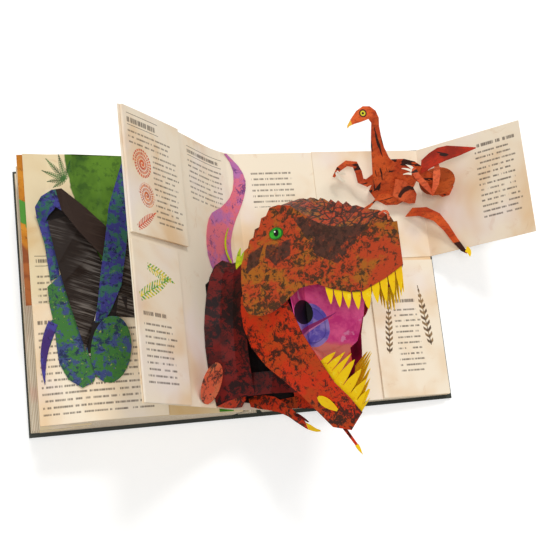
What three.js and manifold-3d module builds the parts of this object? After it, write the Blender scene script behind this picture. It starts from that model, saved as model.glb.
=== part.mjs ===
// A dinosaur pop-up book, lying open on its covers with one leaf half turned.
// Millimetres. Origin on the table under the middle of the spine; +X right, +Y page top, +Z up.
import * as THREE from 'three';
import Module from 'manifold-3d';

// Covers
const COVER_HEIGHT = 264;
const COVER_WIDTH = 195.5;
const BOARD = 3;
const COVER_GAP = 28.2;
const HINGE_GAP = 0.4;

// Page blocks
const PAGE_HEIGHT = 256.7;
const LEFT_INSET = 12.5;
const RIGHT_INSET = 4.2;
const LEFT_FORE_EDGE = 67;
const RIGHT_FORE_EDGE = 11;
const GUTTER_X = 8.9;
const GUTTER_Z = 32.3;

// The half-turned leaf
const LEAF_ANGLE = 52.12;
const LEAF_WIDTH = 194;
const LEAF_THICK = 1.2;
const LEAF_SAG = 7;
const SAG_AT = 34;

// Paper and clearances
const CARD = 0.5;
const SEAT = 0.3;
const LAID = SEAT + CARD / 2;

// The big head
const WEDGE = 25;
const SNOUT = 222;

// The fold-out panel
const FOLD_X = 205.4;
const FOLD_ANGLE = 43.8;
const PANEL_WIDTH = 115.5;
const PANEL_LOW = 14;
const PANEL_HIGH = 128.6;

const wasm = await Module();
wasm.setup();
const rad = THREE.MathUtils.degToRad;
const HALF = PAGE_HEIGHT / 2;
const v3 = (x, y, z) => new THREE.Vector3(x, y, z);
const group = new THREE.Group();
const done = [];

// A closed mesh turned into a solid that the boolean operations accept.
function solid(points, triangles) {
  const positions = new Float32Array(points.length * 3);
  points.forEach((p, i) => p.toArray(positions, i * 3));
  let volume = 0;
  for (let i = 0; i < triangles.length; i += 3) {
    const a = points[triangles[i]];
    const b = points[triangles[i + 1]];
    const c = points[triangles[i + 2]];
    volume += a.dot(b.clone().cross(c));
  }
  const order = volume < 0 ? triangles.slice().reverse() : triangles;
  return new wasm.Manifold(new wasm.Mesh({
    numProp: 3,
    vertProperties: positions,
    triVerts: new Uint32Array(order),
  }));
}

// A sheet of even thickness over a grid of points, rows[i][j].
function sheet(rows, thick, grow = 0) {
  const m = rows.length;
  const n = rows[0].length;
  const grid = rows.map((row) => row.map((p) => p.clone()));
  const push = (p, q, far) => p.add(p.clone().sub(q).setLength(far));
  if (grow > 0) {
    for (let j = 0; j < n; j += 1) {
      push(grid[0][j], rows[1][j], grow);
      push(grid[m - 1][j], rows[m - 2][j], grow);
    }
    for (let i = 0; i < m; i += 1) {
      push(grid[i][0], rows[i][1], grow);
      push(grid[i][n - 1], rows[i][n - 2], grow);
    }
  }
  const top = [];
  const low = [];
  for (let i = 0; i < m; i += 1) {
    for (let j = 0; j < n; j += 1) {
      const du = grid[Math.min(i + 1, m - 1)][j].clone().sub(grid[Math.max(i - 1, 0)][j]);
      const dv = grid[i][Math.min(j + 1, n - 1)].clone().sub(grid[i][Math.max(j - 1, 0)]);
      const normal = du.cross(dv).normalize().multiplyScalar(thick / 2);
      top.push(grid[i][j].clone().add(normal));
      low.push(grid[i][j].clone().sub(normal));
    }
  }
  const points = top.concat(low);
  const half = m * n;
  const tris = [];
  const at = (i, j) => i * n + j;
  for (let i = 0; i < m - 1; i += 1) {
    for (let j = 0; j < n - 1; j += 1) {
      const [a, b, c, d] = [at(i, j), at(i + 1, j), at(i + 1, j + 1), at(i, j + 1)];
      tris.push(a, b, c, a, c, d);
      tris.push(half + a, half + c, half + b, half + a, half + d, half + c);
    }
  }
  const rim = [];
  for (let j = 0; j < n; j += 1) rim.push(at(0, j));
  for (let i = 1; i < m; i += 1) rim.push(at(i, n - 1));
  for (let j = n - 2; j >= 0; j -= 1) rim.push(at(m - 1, j));
  for (let i = m - 2; i > 0; i -= 1) rim.push(at(i, 0));
  rim.forEach((a, k) => {
    const b = rim[(k + 1) % rim.length];
    tris.push(a, b, half + b, a, half + b, half + a);
  });
  return solid(points, tris);
}

// A solid loft between two like outlines (x, z) standing at two heights y.
function loft(outlineLow, outlineHigh, yLow, yHigh) {
  const n = outlineLow.length;
  const flat = outlineLow.map(([x, z]) => new THREE.Vector2(x, z));
  const area = (list) => list.reduce((sum, p, i) => sum + p.cross(list[(i + 1) % list.length]), 0);
  const sense = Math.sign(area(flat));
  const points = [];
  outlineLow.forEach(([x, z]) => points.push(v3(x, yLow, z)));
  outlineHigh.forEach(([x, z]) => points.push(v3(x, yHigh, z)));
  const tris = [];
  THREE.ShapeUtils.triangulateShape(flat, []).forEach((cap) => {
    const own = Math.sign(area(cap.map((i) => flat[i])));
    const [a, b, c] = own === sense ? cap : cap.slice().reverse();
    tris.push(a, b, c, n + a, n + c, n + b);
  });
  for (let i = 0; i < n; i += 1) {
    const k = (i + 1) % n;
    tris.push(k, i, n + i, k, n + i, n + k);
  }
  return solid(points, tris);
}

// Points spaced along a smooth line through the given ones.
function smooth(points, count) {
  return new THREE.CatmullRomCurve3(points, false, 'centripetal').getSpacedPoints(count);
}

// Rows across a strip between two edges; steps across, bulge in the middle.
function between(edgeA, edgeB, steps, bulge = 0) {
  return edgeA.map((a, i) => {
    const b = edgeB[i];
    const next = edgeA[Math.min(i + 1, edgeA.length - 1)];
    const last = edgeA[Math.max(i - 1, 0)];
    const along = next.clone().sub(last);
    const out = along.cross(b.clone().sub(a)).normalize();
    const row = [];
    for (let j = 0; j <= steps; j += 1) {
      const k = j / steps;
      row.push(a.clone().lerp(b, k).addScaledVector(out, bulge * Math.sin(Math.PI * k)));
    }
    return row;
  });
}

// Adds a piece, cut clear of the ones that were there before it.
function add(name, body, cutter, colour) {
  let made = body;
  const box = made.boundingBox();
  for (const other of done) {
    const far = [0, 1, 2].some((k) => box.min[k] > other.box.max[k] || box.max[k] < other.box.min[k]);
    if (!far) made = made.subtract(other.cutter);
  }
  const parts = made.decompose();
  parts.sort((a, b) => b.volume() - a.volume());
  made = parts[0].simplify(0.004);
  done.push({ name, box: cutter.boundingBox(), cutter });
  const mesh = made.getMesh();
  const geometry = new THREE.BufferGeometry();
  const count = mesh.vertProperties.length / mesh.numProp;
  const positions = new Float32Array(count * 3);
  for (let i = 0; i < count; i += 1) {
    for (let k = 0; k < 3; k += 1) positions[i * 3 + k] = mesh.vertProperties[i * mesh.numProp + k];
  }
  geometry.setAttribute('position', new THREE.BufferAttribute(positions, 3));
  geometry.setIndex(Array.from(mesh.triVerts));
  geometry.computeVertexNormals();
  const paint = new THREE.MeshStandardMaterial({ color: colour, roughness: 0.7 });
  const node = new THREE.Mesh(geometry, paint);
  node.name = name;
  group.add(node);
}

function addSheet(name, rows, colour, thick = CARD) {
  add(name, sheet(rows, thick), sheet(rows, thick + 2 * SEAT, SEAT), colour);
}

function addBox(name, low, high, colour) {
  const make = (grow) => {
    const size = high.map((h, k) => h - low[k] + 2 * grow);
    return wasm.Manifold.cube(size).translate(low.map((l) => l - grow));
  };
  add(name, make(0), make(SEAT * 0.98), colour);
}

const CREAM = 0xefe2c6;
const BOARD_DARK = 0x23251f;
const REX = 0xb8451f;
const REX_DARK = 0x5e1710;
const YELLOW = 0xf2c81c;
const MAGENTA = 0xd0358a;
const RUNNER = 0xd65a2c;
const BLUE = 0x2d4a78;
const GREEN = 0x3c7a45;
const BROWN = 0x3a2a22;

// The two cover boards and the spine board between them.
const HINGE_X = COVER_GAP / 2;
const OUTER_X = HINGE_X + COVER_WIDTH;
const COVER_HALF = COVER_HEIGHT / 2;
addBox('front_cover', [-OUTER_X, -COVER_HALF, 0], [-HINGE_X, COVER_HALF, BOARD], BOARD_DARK);
addBox('back_cover', [HINGE_X, -COVER_HALF, 0], [OUTER_X, COVER_HALF, BOARD], BOARD_DARK);
const SPINE_HALF = HINGE_X - HINGE_GAP;
addBox('spine_board', [-SPINE_HALF, -COVER_HALF, 0], [SPINE_HALF, COVER_HALF, BOARD], BOARD_DARK);

// The open spread: t runs from the gutter up the leaf, and below zero over the right page.
const leafDir = v3(-Math.cos(rad(LEAF_ANGLE)), 0, Math.sin(rad(LEAF_ANGLE)));
const leafOut = v3(Math.sin(rad(LEAF_ANGLE)), 0, Math.cos(rad(LEAF_ANGLE)));
const PAGE_RUN = FOLD_X - GUTTER_X;
function spreadLine(t) {
  const p = v3(GUTTER_X, 0, GUTTER_Z);
  if (t >= 0) {
    const sag = LEAF_SAG * (t / SAG_AT) * Math.exp(1 - t / SAG_AT);
    return p.addScaledVector(leafDir, t).addScaledVector(leafOut, -sag);
  }
  const fall = (GUTTER_Z - RIGHT_FORE_EDGE) * (-t / PAGE_RUN) ** 1.15;
  return p.add(v3(-t, 0, -fall));
}
function onSpread(t, y, h) {
  const tangent = spreadLine(t + 0.5).sub(spreadLine(t - 0.5)).normalize();
  const out = v3(tangent.z, 0, -tangent.x);
  return spreadLine(t).addScaledVector(out, h).setY(y);
}
const onRight = (x, y, h) => onSpread(GUTTER_X - x, y, h);

// The left page: its edge stands high, and it is puffed up towards the bottom.
const LEFT_X = OUTER_X - LEFT_INSET;
const LEFT_GUTTER = -8;
const LEFT_LOW = [[0, 30], [16, 33], [42, 46], [76, 62], [94, 67], [142, 72], [189, 67]];
const LEFT_HIGH = [[0, 30], [16, 32], [52, 37], [95, 45], [142, 56], [166, 61], [189, 67]];
function profile(list, run) {
  for (let i = 1; i < list.length; i += 1) {
    if (run <= list[i][0]) {
      const k = (run - list[i - 1][0]) / (list[i][0] - list[i - 1][0]);
      return list[i - 1][1] + k * (list[i][1] - list[i - 1][1]);
    }
  }
  return list[list.length - 1][1];
}
function onLeft(x, y, h) {
  const k = THREE.MathUtils.clamp((y + HALF) / PAGE_HEIGHT, 0, 1);
  const run = Math.max(0, LEFT_GUTTER - x);
  const z = profile(LEFT_LOW, run) * (1 - k) + profile(LEFT_HIGH, run) * k;
  return v3(x, y, z + h);
}

// Page blocks: fans of stiff pages, apart at the fore edge where folded pop-ups lie between.
const UNDER = BOARD + SEAT;
function leftOutline(list, grow) {
  const top = [0, 16, 34, 52, 76, 95, 118, 142, 166, 189].map((run) => {
    return [LEFT_GUTTER - run, profile(list, run) + grow];
  });
  const out = -LEFT_X;
  const sides = [
    [out, LEFT_FORE_EDGE - 2.2],
    [out + 46, LEFT_FORE_EDGE - 9],
    [out + 46, 41],
    [out - 1, 31.5],
    [out - 1, 29],
    [out + 44, 30],
    [out + 44, 20],
    [out - 2.5, 9.5],
    [out - 2.5, UNDER],
    [-HINGE_X - 0.4, UNDER],
  ];
  return top.concat(sides);
}
const leftBlock = (grow) => loft(leftOutline(LEFT_LOW, grow), leftOutline(LEFT_HIGH, grow), -HALF, HALF);
add('left_pages', leftBlock(0), leftBlock(SEAT), CREAM);

const spreadRows = (tList, yLow, yHigh, h) => tList.map((t) => [onSpread(t, yLow, h), onSpread(t, yHigh, h)]);
const leafStops = [194, 160, 128, 100, 78, 60, 45, 32, 20, 10, 0];
const pageStops = [-10, -24, -45, -75, -110, -150, -196.5];
const spreadAll = spreadRows(leafStops.concat(pageStops), -HALF, HALF, -LEAF_THICK / 2);
addSheet('turning_leaf_spread', spreadAll, CREAM, LEAF_THICK);

function rightOutline(drop) {
  const top = [0, -10, -24, -45, -75, -110, -150, -196.5].map((t) => {
    const p = onSpread(t, 0, -LEAF_THICK - drop);
    return [p.x, p.z];
  });
  const out = FOLD_X;
  return top.concat([
    [out - 28, 8.2],
    [out - 28, 7.2],
    [out - 0.6, 5.8],
    [out - 0.6, UNDER],
    [HINGE_X + 0.4, UNDER],
  ]);
}
const rightBlock = loft(rightOutline(SEAT), rightOutline(SEAT), -HALF, HALF);
add('right_pages', rightBlock, rightBlock, CREAM);

// The folded backs of the pages, standing on the spine board.
const foldsOutline = [[-9.4, UNDER], [9.4, UNDER], [5.6, 20.6], [0.6, 23.6], [-3.8, 22.8]];
const folds = loft(foldsOutline, foldsOutline, -HALF, HALF);
add('page_folds', folds, folds, CREAM);

// Booklets: stacks of small pages glued to the big ones.
function slab(stops, place, low, high, thick, lift = 0) {
  const under = stops.map(([a, yLow, yHigh], i) => {
    const rise = lift * (1 - i / (stops.length - 1));
    return [place(a, yLow + low, SEAT + thick / 2 + rise), place(a, yHigh + high, SEAT + thick / 2 + rise)];
  });
  return under;
}
const leafUpper = [[104, 16, 128], [120, 15.8, 128], [145, 15.5, 128], [170, 15.2, 128], [192, 15, 128]];
addSheet('leaf_upper_booklet', slab(leafUpper, onSpread, 0, 0, 2.4, 1.2), CREAM, 2.4);
const leafLower = [[123, -128, 9], [140, -128, 9], [160, -128, 9], [178, -128, 9], [193.5, -128, 9]];
addSheet('leaf_lower_booklet', slab(leafLower, onSpread, 0, 0, 2, 0.4), CREAM, 2);
const caption = [[-81, -128, -22], [-84.01, -128, -22], [-102, -128, -21], [-126, -128, -20], [-150, -128.2, -19],
  [-174, -128.3, -18], [-196.5, -128.3, -17]];
addSheet('caption_booklet', slab(caption, onLeft, 0, 0, 1.6, 1.5), CREAM, 1.6);
const lowerRight = [[134, -127.5, 11], [150, -127.6, 10.8], [170, -127.8, 10.6], [190, -128, 10.4], [205, -128, 10.2]];
addSheet('lower_right_booklet', slab(lowerRight, onRight, 0, 0, 2.6, 0.8), CREAM, 2.6);

// The fold-out: one sheet, its inner half glued to the page, its outer half swung up.
const foldDir = v3(Math.cos(rad(FOLD_ANGLE)), 0, Math.sin(rad(FOLD_ANGLE)));
const foldOut = v3(-foldDir.z, 0, foldDir.x);
const foldAt = onRight(FOLD_X, 0, LAID + 0.2);
const onPanel = (d, y, h) => foldAt.clone().addScaledVector(foldDir, d).addScaledVector(foldOut, h).setY(y);
const PANEL = 0.8;
const panelRows = [90, 108, 130, 152, 174, 192].map((x) => onRight(x, 0, SEAT + PANEL / 2));
panelRows.push(foldAt.clone());
[6, 40, 78, PANEL_WIDTH].forEach((d) => panelRows.push(onPanel(d, 0, 0)));
const panelGrid = panelRows.map((p) => [p.clone().setY(PANEL_LOW), p.clone().setY(PANEL_HIGH)]);
addSheet('fold_out_panel', panelGrid, CREAM, PANEL);

// The big head stands on the plane that halves the opening of the spread.
const tilt = rad(LEAF_ANGLE / 2);
const rex = (x, y, z) => v3(
  GUTTER_X + x * Math.cos(tilt) + z * Math.sin(tilt),
  y,
  GUTTER_Z - x * Math.sin(tilt) + z * Math.cos(tilt),
);
function mirrored(rows) {
  // rows run from the left end to the fold; the far side is their mirror image
  const far = rows.slice(0, -1).reverse().map((row) => row.map(([x, y, z]) => [-x, y, z]));
  return rows.concat(far).map((row) => row.map(([x, y, z]) => rex(x, y, z)));
}
const wedge = rad(WEDGE);
const cheek = (u, v, off = 0) => [
  -u * Math.sin(wedge) + off * Math.cos(wedge),
  v,
  SNOUT - u * Math.cos(wedge) - off * Math.sin(wedge),
];

// Side faces of the upper head, folded at the snout: distance back, low edge, high edge.
const FACE = [
  [153.5, -46, -24], [151.5, -51, -9], [149.5, -53.5, -5], [147, -55, 2.5], [143, -56.5, 4.5], [140.5, -57.5, 11],
  [136.5, -58, 12.5], [134, -58, 19.5], [129.5, -57.5, 20.5], [126.5, -57, 28], [121.5, -55.5, 29], [117, -53.5, 35.5],
  [108, -48, 36], [96, -41, 32], [88, -40.5, 25], [79, -41, 17], [68, -47, 9], [50, -53.5, 3],
  [39, -55, 2], [17, -48, -1], [0, -40, -3],
];
addSheet('head_sides', mirrored(FACE.map(([u, low, high]) => [cheek(u, low), cheek(u, high)])), REX);

// The roof: from the top of one face up to the crest and down to the other.
const RIDGE = [
  [122, 78, 47], [118, 82, 54.5], [114, 87, 54], [110, 92, 48.5], [106, 97, 53], [101, 103, 51.5], [96, 108, 46],
  [91, 113, 49.5], [87, 118, 47.5], [83, 122, 42], [79, 127, 45], [75, 132, 42.5], [71, 136, 37], [67, 141, 39.5],
  [63, 145, 33.5], [58, 151, 35.5], [54, 155, 29.5], [49, 161.5, 31.5], [44, 166, 25.5], [37, 174, 24.5],
  [27, 186, 18], [14, 202, 12], [4, 215, 2.5],
];
function edgeAt(list, u, column) {
  for (let i = 1; i < list.length; i += 1) {
    if (u >= list[i][0]) {
      const k = (u - list[i][0]) / (list[i - 1][0] - list[i][0]);
      return list[i][column] + k * (list[i - 1][column] - list[i][column]);
    }
  }
  return list[list.length - 1][column];
}
const roofRows = RIDGE.map(([u, z, y]) => {
  const left = cheek(u, edgeAt(FACE, u, 2) - 1.2, CARD + SEAT + 0.15);
  return [rex(...left), rex(0, y, z), rex(-left[0], left[1], left[2])];
});
addSheet('head_crest', roofRows, REX);

// Upper teeth: one zigzag strip inside the lip, from cheek to snout to cheek.
const LIP = [[73, -44], [68, -47], [50, -53.5], [39, -55], [17, -48], [0, -40]];
const TOOTH = [[-1, 0], [-0.92, 0.35], [-0.4, 0.8], [0, 1], [0.4, 0.8], [0.92, 0.35], [1, 0]];
const tooth = ([centre, half, long], low) => TOOTH.map(([s, k]) => [centre + s * half, low + k * (long - low)]);
const UPPER = [[69.4, -3.3, 14], [61.6, -3.6, 15], [53.6, -3.8, 14.5], [44.8, -3.8, 15], [35.4, -4.4, 17],
  [26.8, -3.6, 16], [19, -3.4, 19], [11.6, -3.2, 18], [4.6, -3, 20]];
const upperStops = UPPER.flatMap((t) => tooth(t, -1.2)).concat([[0, -1.2]]);
const toothRows = upperStops.map(([u, long]) => [
  cheek(u, edgeAt(LIP, u, 1) - long, CARD + SEAT + 0.1),
  cheek(u, edgeAt(LIP, u, 1) + 5, CARD + SEAT + 0.1),
]);
toothRows[toothRows.length - 1].forEach((p) => {
  p[0] = 0;
});
addSheet('upper_teeth', mirrored(toothRows), YELLOW);

// Lower jaw: two faces folded at the chin; upper edge and lower edge, from the hinge forward.
const JAW = [
  [-58, -32, 88, -60.5, -36, 74], [-52, -37, 106, -57.5, -47, 67], [-45, -46, 119, -53.5, -62, 63],
  [-40, -59, 120, -48, -80, 64], [-33, -78, 121, -40, -98, 72], [-26, -97, 127, -30, -114, 84],
  [-20, -110, 130, -22, -128, 95], [-14, -123, 133, -14, -144, 105], [-6, -138, 142, -6, -159, 114],
  [0, -151, 148, 0, -164, 131],
];
addSheet('lower_jaw', mirrored(JAW.map((r) => [r.slice(0, 3), r.slice(3)])), REX);

// Mouth lining: a sheet folded on the middle plane, its ends against the insides of the faces.
const liningEnd = 46;
const liningZ = SNOUT - liningEnd / Math.tan(wedge);
const LINING = [
  [[-liningEnd, -12, liningZ - 1.5], [-43, -40, liningZ - 1.5], [-39, -62, liningZ - 3], [-30, -84, liningZ - 5]],
  [[-24, -8, 106], [-24, -42, 106], [-22, -76, 106], [-17, -98, 104]],
  [[0, -4, 88], [0, -45, 88], [0, -80, 88], [0, -112, 90]],
];
addSheet('mouth_lining', mirrored(LINING), MAGENTA);
const tongueRows = mirrored([
  [[-26, -84, 112], [-21, -104, 118]],
  [[-12, -90, 108], [-10, -118, 122]],
  [[0, -92, 104], [0, -132, 128]],
]);
addSheet('tongue', tongueRows, MAGENTA);

// Lower teeth: a zigzag strip standing inside the jaw.
const LOWER = [[0.63, 0.021, 17], [0.681, 0.024, 25], [0.736, 0.026, 30], [0.79, 0.026, 29], [0.844, 0.025, 27],
  [0.897, 0.025, 24], [0.95, 0.024, 20]];
const lowerStops = LOWER.flatMap((t) => tooth(t, 3)).concat([[1, 16]]);
const jawTop = JAW.map((r) => v3(r[0], r[1], r[2]));
const jawLow = JAW.map((r) => v3(r[3], r[4], r[5]));
function along(points, k) {
  const s = k * (points.length - 1);
  const i = Math.min(Math.floor(s), points.length - 2);
  return points[i].clone().lerp(points[i + 1], s - i);
}
const lowToothRows = lowerStops.map(([k, rise]) => {
  const root = k > 0.9 ? 6 : 9;
  const edge = along(jawTop, k);
  const down = along(jawLow, k).sub(edge).normalize();
  const inward = k > 0.99 ? v3(0, 0.55, -0.3) : v3(0.93, 0.25, -0.1);
  const shift = inward.multiplyScalar(CARD + SEAT + 0.35);
  const lean = v3(k > 0.99 ? 0 : rise * 0.12, 0, 0);
  const tip = edge.clone().addScaledVector(down, -rise).add(shift).add(lean);
  const foot = edge.clone().addScaledVector(down, root).add(shift);
  return [tip.toArray(), foot.toArray()];
});
lowToothRows[lowToothRows.length - 1].forEach((p) => {
  p[0] = 0;
});
addSheet('lower_teeth', mirrored(lowToothRows), YELLOW);

// A thumb claw glued to the near face of the jaw.
const clawRows = [0, 0.12, 0.3, 0.5, 0.7, 0.88, 1].map((s) => {
  const k = 0.74 + 0.125 * s;
  const top = along(jawTop, k);
  const across = along(jawLow, k).sub(top);
  const ahead = along(jawTop, k + 0.02).sub(top);
  const out = across.clone().cross(ahead).normalize();
  if (out.x > 0) out.negate();
  const middle = top.addScaledVector(across, 0.66 - 0.14 * s).addScaledVector(out, CARD + SEAT + 0.05);
  across.setLength(0.4 + 4.4 * Math.sin(Math.PI * (0.06 + 0.88 * s ** 0.8)));
  return [middle.clone().sub(across), middle.clone().add(across)].map((q) => rex(...q.toArray()));
});
addSheet('thumb_claw', clawRows, YELLOW);

// Eyes: small discs glued to the faces.
function disc(centre, u, v, ru, rv, count = 14) {
  const rows = [];
  for (let i = 0; i <= count; i += 1) {
    const a = 0.16 + (Math.PI - 0.32) * (i / count);
    const w = Math.sin(a) * rv;
    const c = centre.clone().addScaledVector(u, -Math.cos(a) * ru);
    rows.push([c.clone().addScaledVector(v, -w), c.clone().addScaledVector(v, w)]);
  }
  return rows;
}
const eyeOff = -(CARD + SEAT);
const rexDir = (x, y, z) => rex(x, y, z).sub(rex(0, 0, 0));
const sideDir = rexDir(-Math.sin(wedge), 0, -Math.cos(wedge));
const farDir = rexDir(Math.sin(wedge), 0, -Math.cos(wedge));
const eyeAt = cheek(113, 11, eyeOff);
addSheet('left_eye', disc(rex(...eyeAt), sideDir, v3(0, 1, 0), 7, 5.5), GREEN);
addSheet('right_eye', disc(rex(-eyeAt[0], eyeAt[1], eyeAt[2]), farDir, v3(0, 1, 0), 7, 5.5), GREEN);

// Body of the big dinosaur: a dark base across the gutter, and two flanks that stand on the pages.
const BASE = [[72, -118, -14], [50, -120, -2], [30, -121, 4], [14, -122, 7], [4, -122, 8], [-2, -122, 8],
  [-20, -122, 6], [-46, -122, 0], [-70, -118, -14]];
addSheet('body_base', BASE.map(([t, a, b]) => [onSpread(t, a, LAID), onSpread(t, b, LAID)]), REX_DARK);
function flank(side) {
  const foot = [[34, 15], [50, 7], [65, -9], [76, -32], [84, -58], [84, -90], [74, -127]];
  const crest = [[-9, 21, 20], [-19, 11.5, 27], [-34, 2, 44], [-46, -20, 58], [-50, -52, 62], [-48, -86, 58], [-36, -118, 44]];
  const a = foot.map(([t, y]) => onSpread(side * t, y, LAID + 0.1));
  const b = crest.map(([x, y, z]) => rex(side * x, y, side > 0 ? z : z - 6));
  return between(smooth(a, 9), smooth(b, 9), 3, side * -7);
}
addSheet('left_flank', flank(1), REX_DARK);
addSheet('right_flank', flank(-1), REX_DARK);

// Neck: from the flanks up to the insides of the faces.
function neck(side) {
  const low = [[-20, 9, 25], [-33, 1, 41], [-45, -18, 53], [-49, -38, 58]];
  const high = [[-50, 20, 106], [-55, 8, 100], [-57, -10, 96], [-58.5, -30, 93]];
  const a = low.map(([x, y, z]) => rex(side * x, y, z));
  const b = high.map(([x, y, z]) => rex(side * x, y, z));
  return between(smooth(a, 6), smooth(b, 6), 2, 0);
}
addSheet('left_neck', neck(1), REX_DARK);
addSheet('right_neck', neck(-1), REX_DARK);

// Chest: a bridge folded over the gutter in front.
const CHEST = [[-44, 24], [-32, 40], [-18, 50], [0, 54]];
const chestGrid = mirrored(CHEST.map(([x, z]) => [[x, -99, z + 2], [x, -119, z - 6]]));
chestGrid.unshift([onSpread(52, -99, LAID), onSpread(52, -119, LAID)]);
chestGrid.push([onSpread(-52, -99, LAID), onSpread(-52, -119, LAID)]);
addSheet('chest', chestGrid, REX_DARK);

// Legs: a round thigh card standing off the leaf, and a shorter one by the gutter.
function card3(centre, tip, side, radiusLong, radiusWide) {
  const u = tip.clone().sub(centre).normalize();
  const v = side.clone().sub(centre);
  v.addScaledVector(u, -v.dot(u)).normalize();
  return disc(centre, u, v, radiusLong, radiusWide);
}
const atFoot = (t, rise, h) => onSpread(t, rise - HALF, h);
const kneeLow = atFoot(88, 3.35, LAID + 0.2);
const kneeHigh = atFoot(106, 35.35, 19);
const kneeMid = kneeLow.clone().lerp(kneeHigh, 0.5);
const kneeSide = kneeMid.clone().add(leafDir);
addSheet('left_knee', card3(kneeMid, kneeHigh, kneeSide, kneeLow.distanceTo(kneeHigh) / 2, 15), REX);
const thighA = smooth([atFoot(78, 28.35, 13), atFoot(62, 32.35, 17), atFoot(44, 30.35, 16), atFoot(30, 22.35, 14)], 6);
const thighB = smooth([atFoot(74, 1.35, LAID + 0.4), atFoot(60, 0.35, 2), atFoot(46, 0.35, 4), atFoot(34, 1.35, 6)], 6);
addSheet('left_thigh', between(thighA, thighB, 3, -2), REX);
const thighC = smooth([atFoot(-30, 24.35, 12), atFoot(-44, 30.35, 14), atFoot(-62, 30.35, 12), atFoot(-74, 24.35, 8)], 6);
const thighD = smooth([atFoot(-34, 1.35, LAID + 0.4), atFoot(-46, 0.35, 1), atFoot(-60, 0.35, 1), atFoot(-70, 4.35, 1)], 6);
addSheet('right_thigh', between(thighC, thighD, 3, -2), REX);

// Arms: cards that stand parallel to the middle plane in front of the chest.
function ribbon(path, x) {
  return path.map(([z, y, w, lean = 0.35]) => [rex(x, y - w, z + w * lean), rex(x, y + w, z - w * lean)]);
}
const LEFT_ARM = [[3, -122, 4], [14, -123, 6.4], [30, -125.5, 7.4], [46, -129.5, 7.6], [60, -136, 7], [72, -144, 6],
  [81, -150, 4.6], [87, -154, 3.6]];
addSheet('left_arm', ribbon(LEFT_ARM, -14), REX);
addSheet('left_hand_claw', ribbon([[87.9, -154.6, 3.2], [94, -157, 2.8], [100, -159.5, 1.7], [106, -161, 0.6]], -14), YELLOW);
const RIGHT_ARM = [[3, -124, 3], [20, -126.5, 5], [44, -128, 6], [66, -131, 6], [84, -140, 5], [98, -153, 3],
  [108, -163, 1.2], [119, -177, 0.9]];
addSheet('right_arm', ribbon(RIGHT_ARM, 14), REX);
addSheet('right_hand_claw', ribbon([[119.7, -177.9, 1.1], [122, -181, 1.5], [125, -184.5, 0.8]], 14), YELLOW);

// Tail of the big dinosaur: a card glued along the leaf beside the gutter.
const tailLeft = [[12, 127], [4, 116], [3, 103], [8, 85], [23, 71], [46, 59], [56, 46], [61, 30], [61, 16], [56, 6], [50, 0]];
const tailRight = [[9, 127.4], [-3, 116], [-9, 101], [-8, 90], [-2, 74], [5, 61], [12, 46], [16, 34], [16, 23], [14, 10], [12, 4]];
const tailA = smooth(tailLeft.map(([t, y]) => v3(t, y, 0)), 16);
const tailB = smooth(tailRight.map(([t, y]) => v3(t, y, 0)), 16);
const tailRows = between(tailA, tailB, 4).map((row) => row.map((p, j) => {
  return onSpread(p.x, p.y, LAID + 0.15 + 0.4 * Math.sin((Math.PI * j) / 4));
}));
addSheet('tail', tailRows, MAGENTA);

// The running dinosaur of the fold-out: a tent-shaped body across the fold.
const runSpine = [[150, 100, 64], [162, 104, 63.5], [175, 104, 63], [186, 101, 62], [194, 95, 59]];
const runLeft = [[147, 86], [153, 76], [163, 70], [176, 70], [188, 76]];
const runRight = [[12, 88], [16, 78], [23, 72], [31, 72], [37, 80]];
const runRows = runSpine.map((s, i) => {
  const a = onRight(runLeft[i][0], runLeft[i][1], PANEL + SEAT + LAID);
  const b = v3(...s);
  const c = onPanel(runRight[i][0], runRight[i][1], PANEL / 2 + LAID);
  const out = v3(-0.4, -0.75, 0.5).multiplyScalar(4);
  return [a, a.clone().lerp(b, 0.5).add(out), b, b.clone().lerp(c, 0.5), c];
});
addSheet('runner_body', runRows, RUNNER);

// Neck and head: one card that curves forward to the beak.
const NECK = [
  [163, 97.5, 68.4, 146.4, 80, 34], [157, 104, 71, 144.4, 88, 48], [152, 113, 76, 141.4, 102, 63],
  [148, 122, 84, 138.6, 115, 77], [145.2, 130, 91, 137.2, 124.5, 88], [143.8, 136, 98, 135.8, 131, 98],
  [140, 141.4, 103, 131.6, 133, 104], [134, 145.2, 105.6, 128, 131.6, 104], [127, 145.4, 106, 123, 130, 104],
  [120, 141, 105.6, 117, 128.4, 104.6], [113.5, 133, 105.2, 112, 126.4, 104.8], [109.4, 126.5, 104.8, 109.6, 124, 104.8],
];
addSheet('runner_neck', NECK.map((r) => [v3(r[0], r[1], r[2]), v3(r[3], r[4], r[5])]), RUNNER);

// Limbs of the runner: ribbons with an offset across the view.
function limb(path, across) {
  return path.map(([x, y, z, w]) => {
    const p = v3(x, y, z);
    return [p.clone().addScaledVector(across, -w), p.clone().addScaledVector(across, w)];
  });
}
// A ribbon that turns with its path and faces a reader.
const reader = v3(-0.2, -0.2, 0.96);
function follow(path) {
  return path.map(([x, y, z, w], i) => {
    const next = v3(...path[Math.min(i + 1, path.length - 1)]);
    const last = v3(...path[Math.max(i - 1, 0)]);
    const across = next.sub(last).cross(reader).setLength(w);
    return [v3(x, y, z).sub(across), v3(x, y, z).add(across)];
  });
}
addSheet('runner_left_arm', follow([[147.5, 91, 46, 4.6], [140, 88, 40, 4], [134.5, 91.5, 38, 3.6], [132.5, 99, 42, 3.4],
  [128.5, 106.5, 46, 3.4], [120, 108, 46, 3], [112.5, 104, 42, 2.6], [107.5, 97.5, 36, 1.2]]), RUNNER);
const tailSpine = [[193, 96, 58, 8], [200, 100, 63, 9.6], [208, 103.6, 67, 10], [217, 105, 71.6, 8.6], [229, 104.5, 77.6, 5.2],
  [243, 104.5, 84.5, 0.5]];
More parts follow.
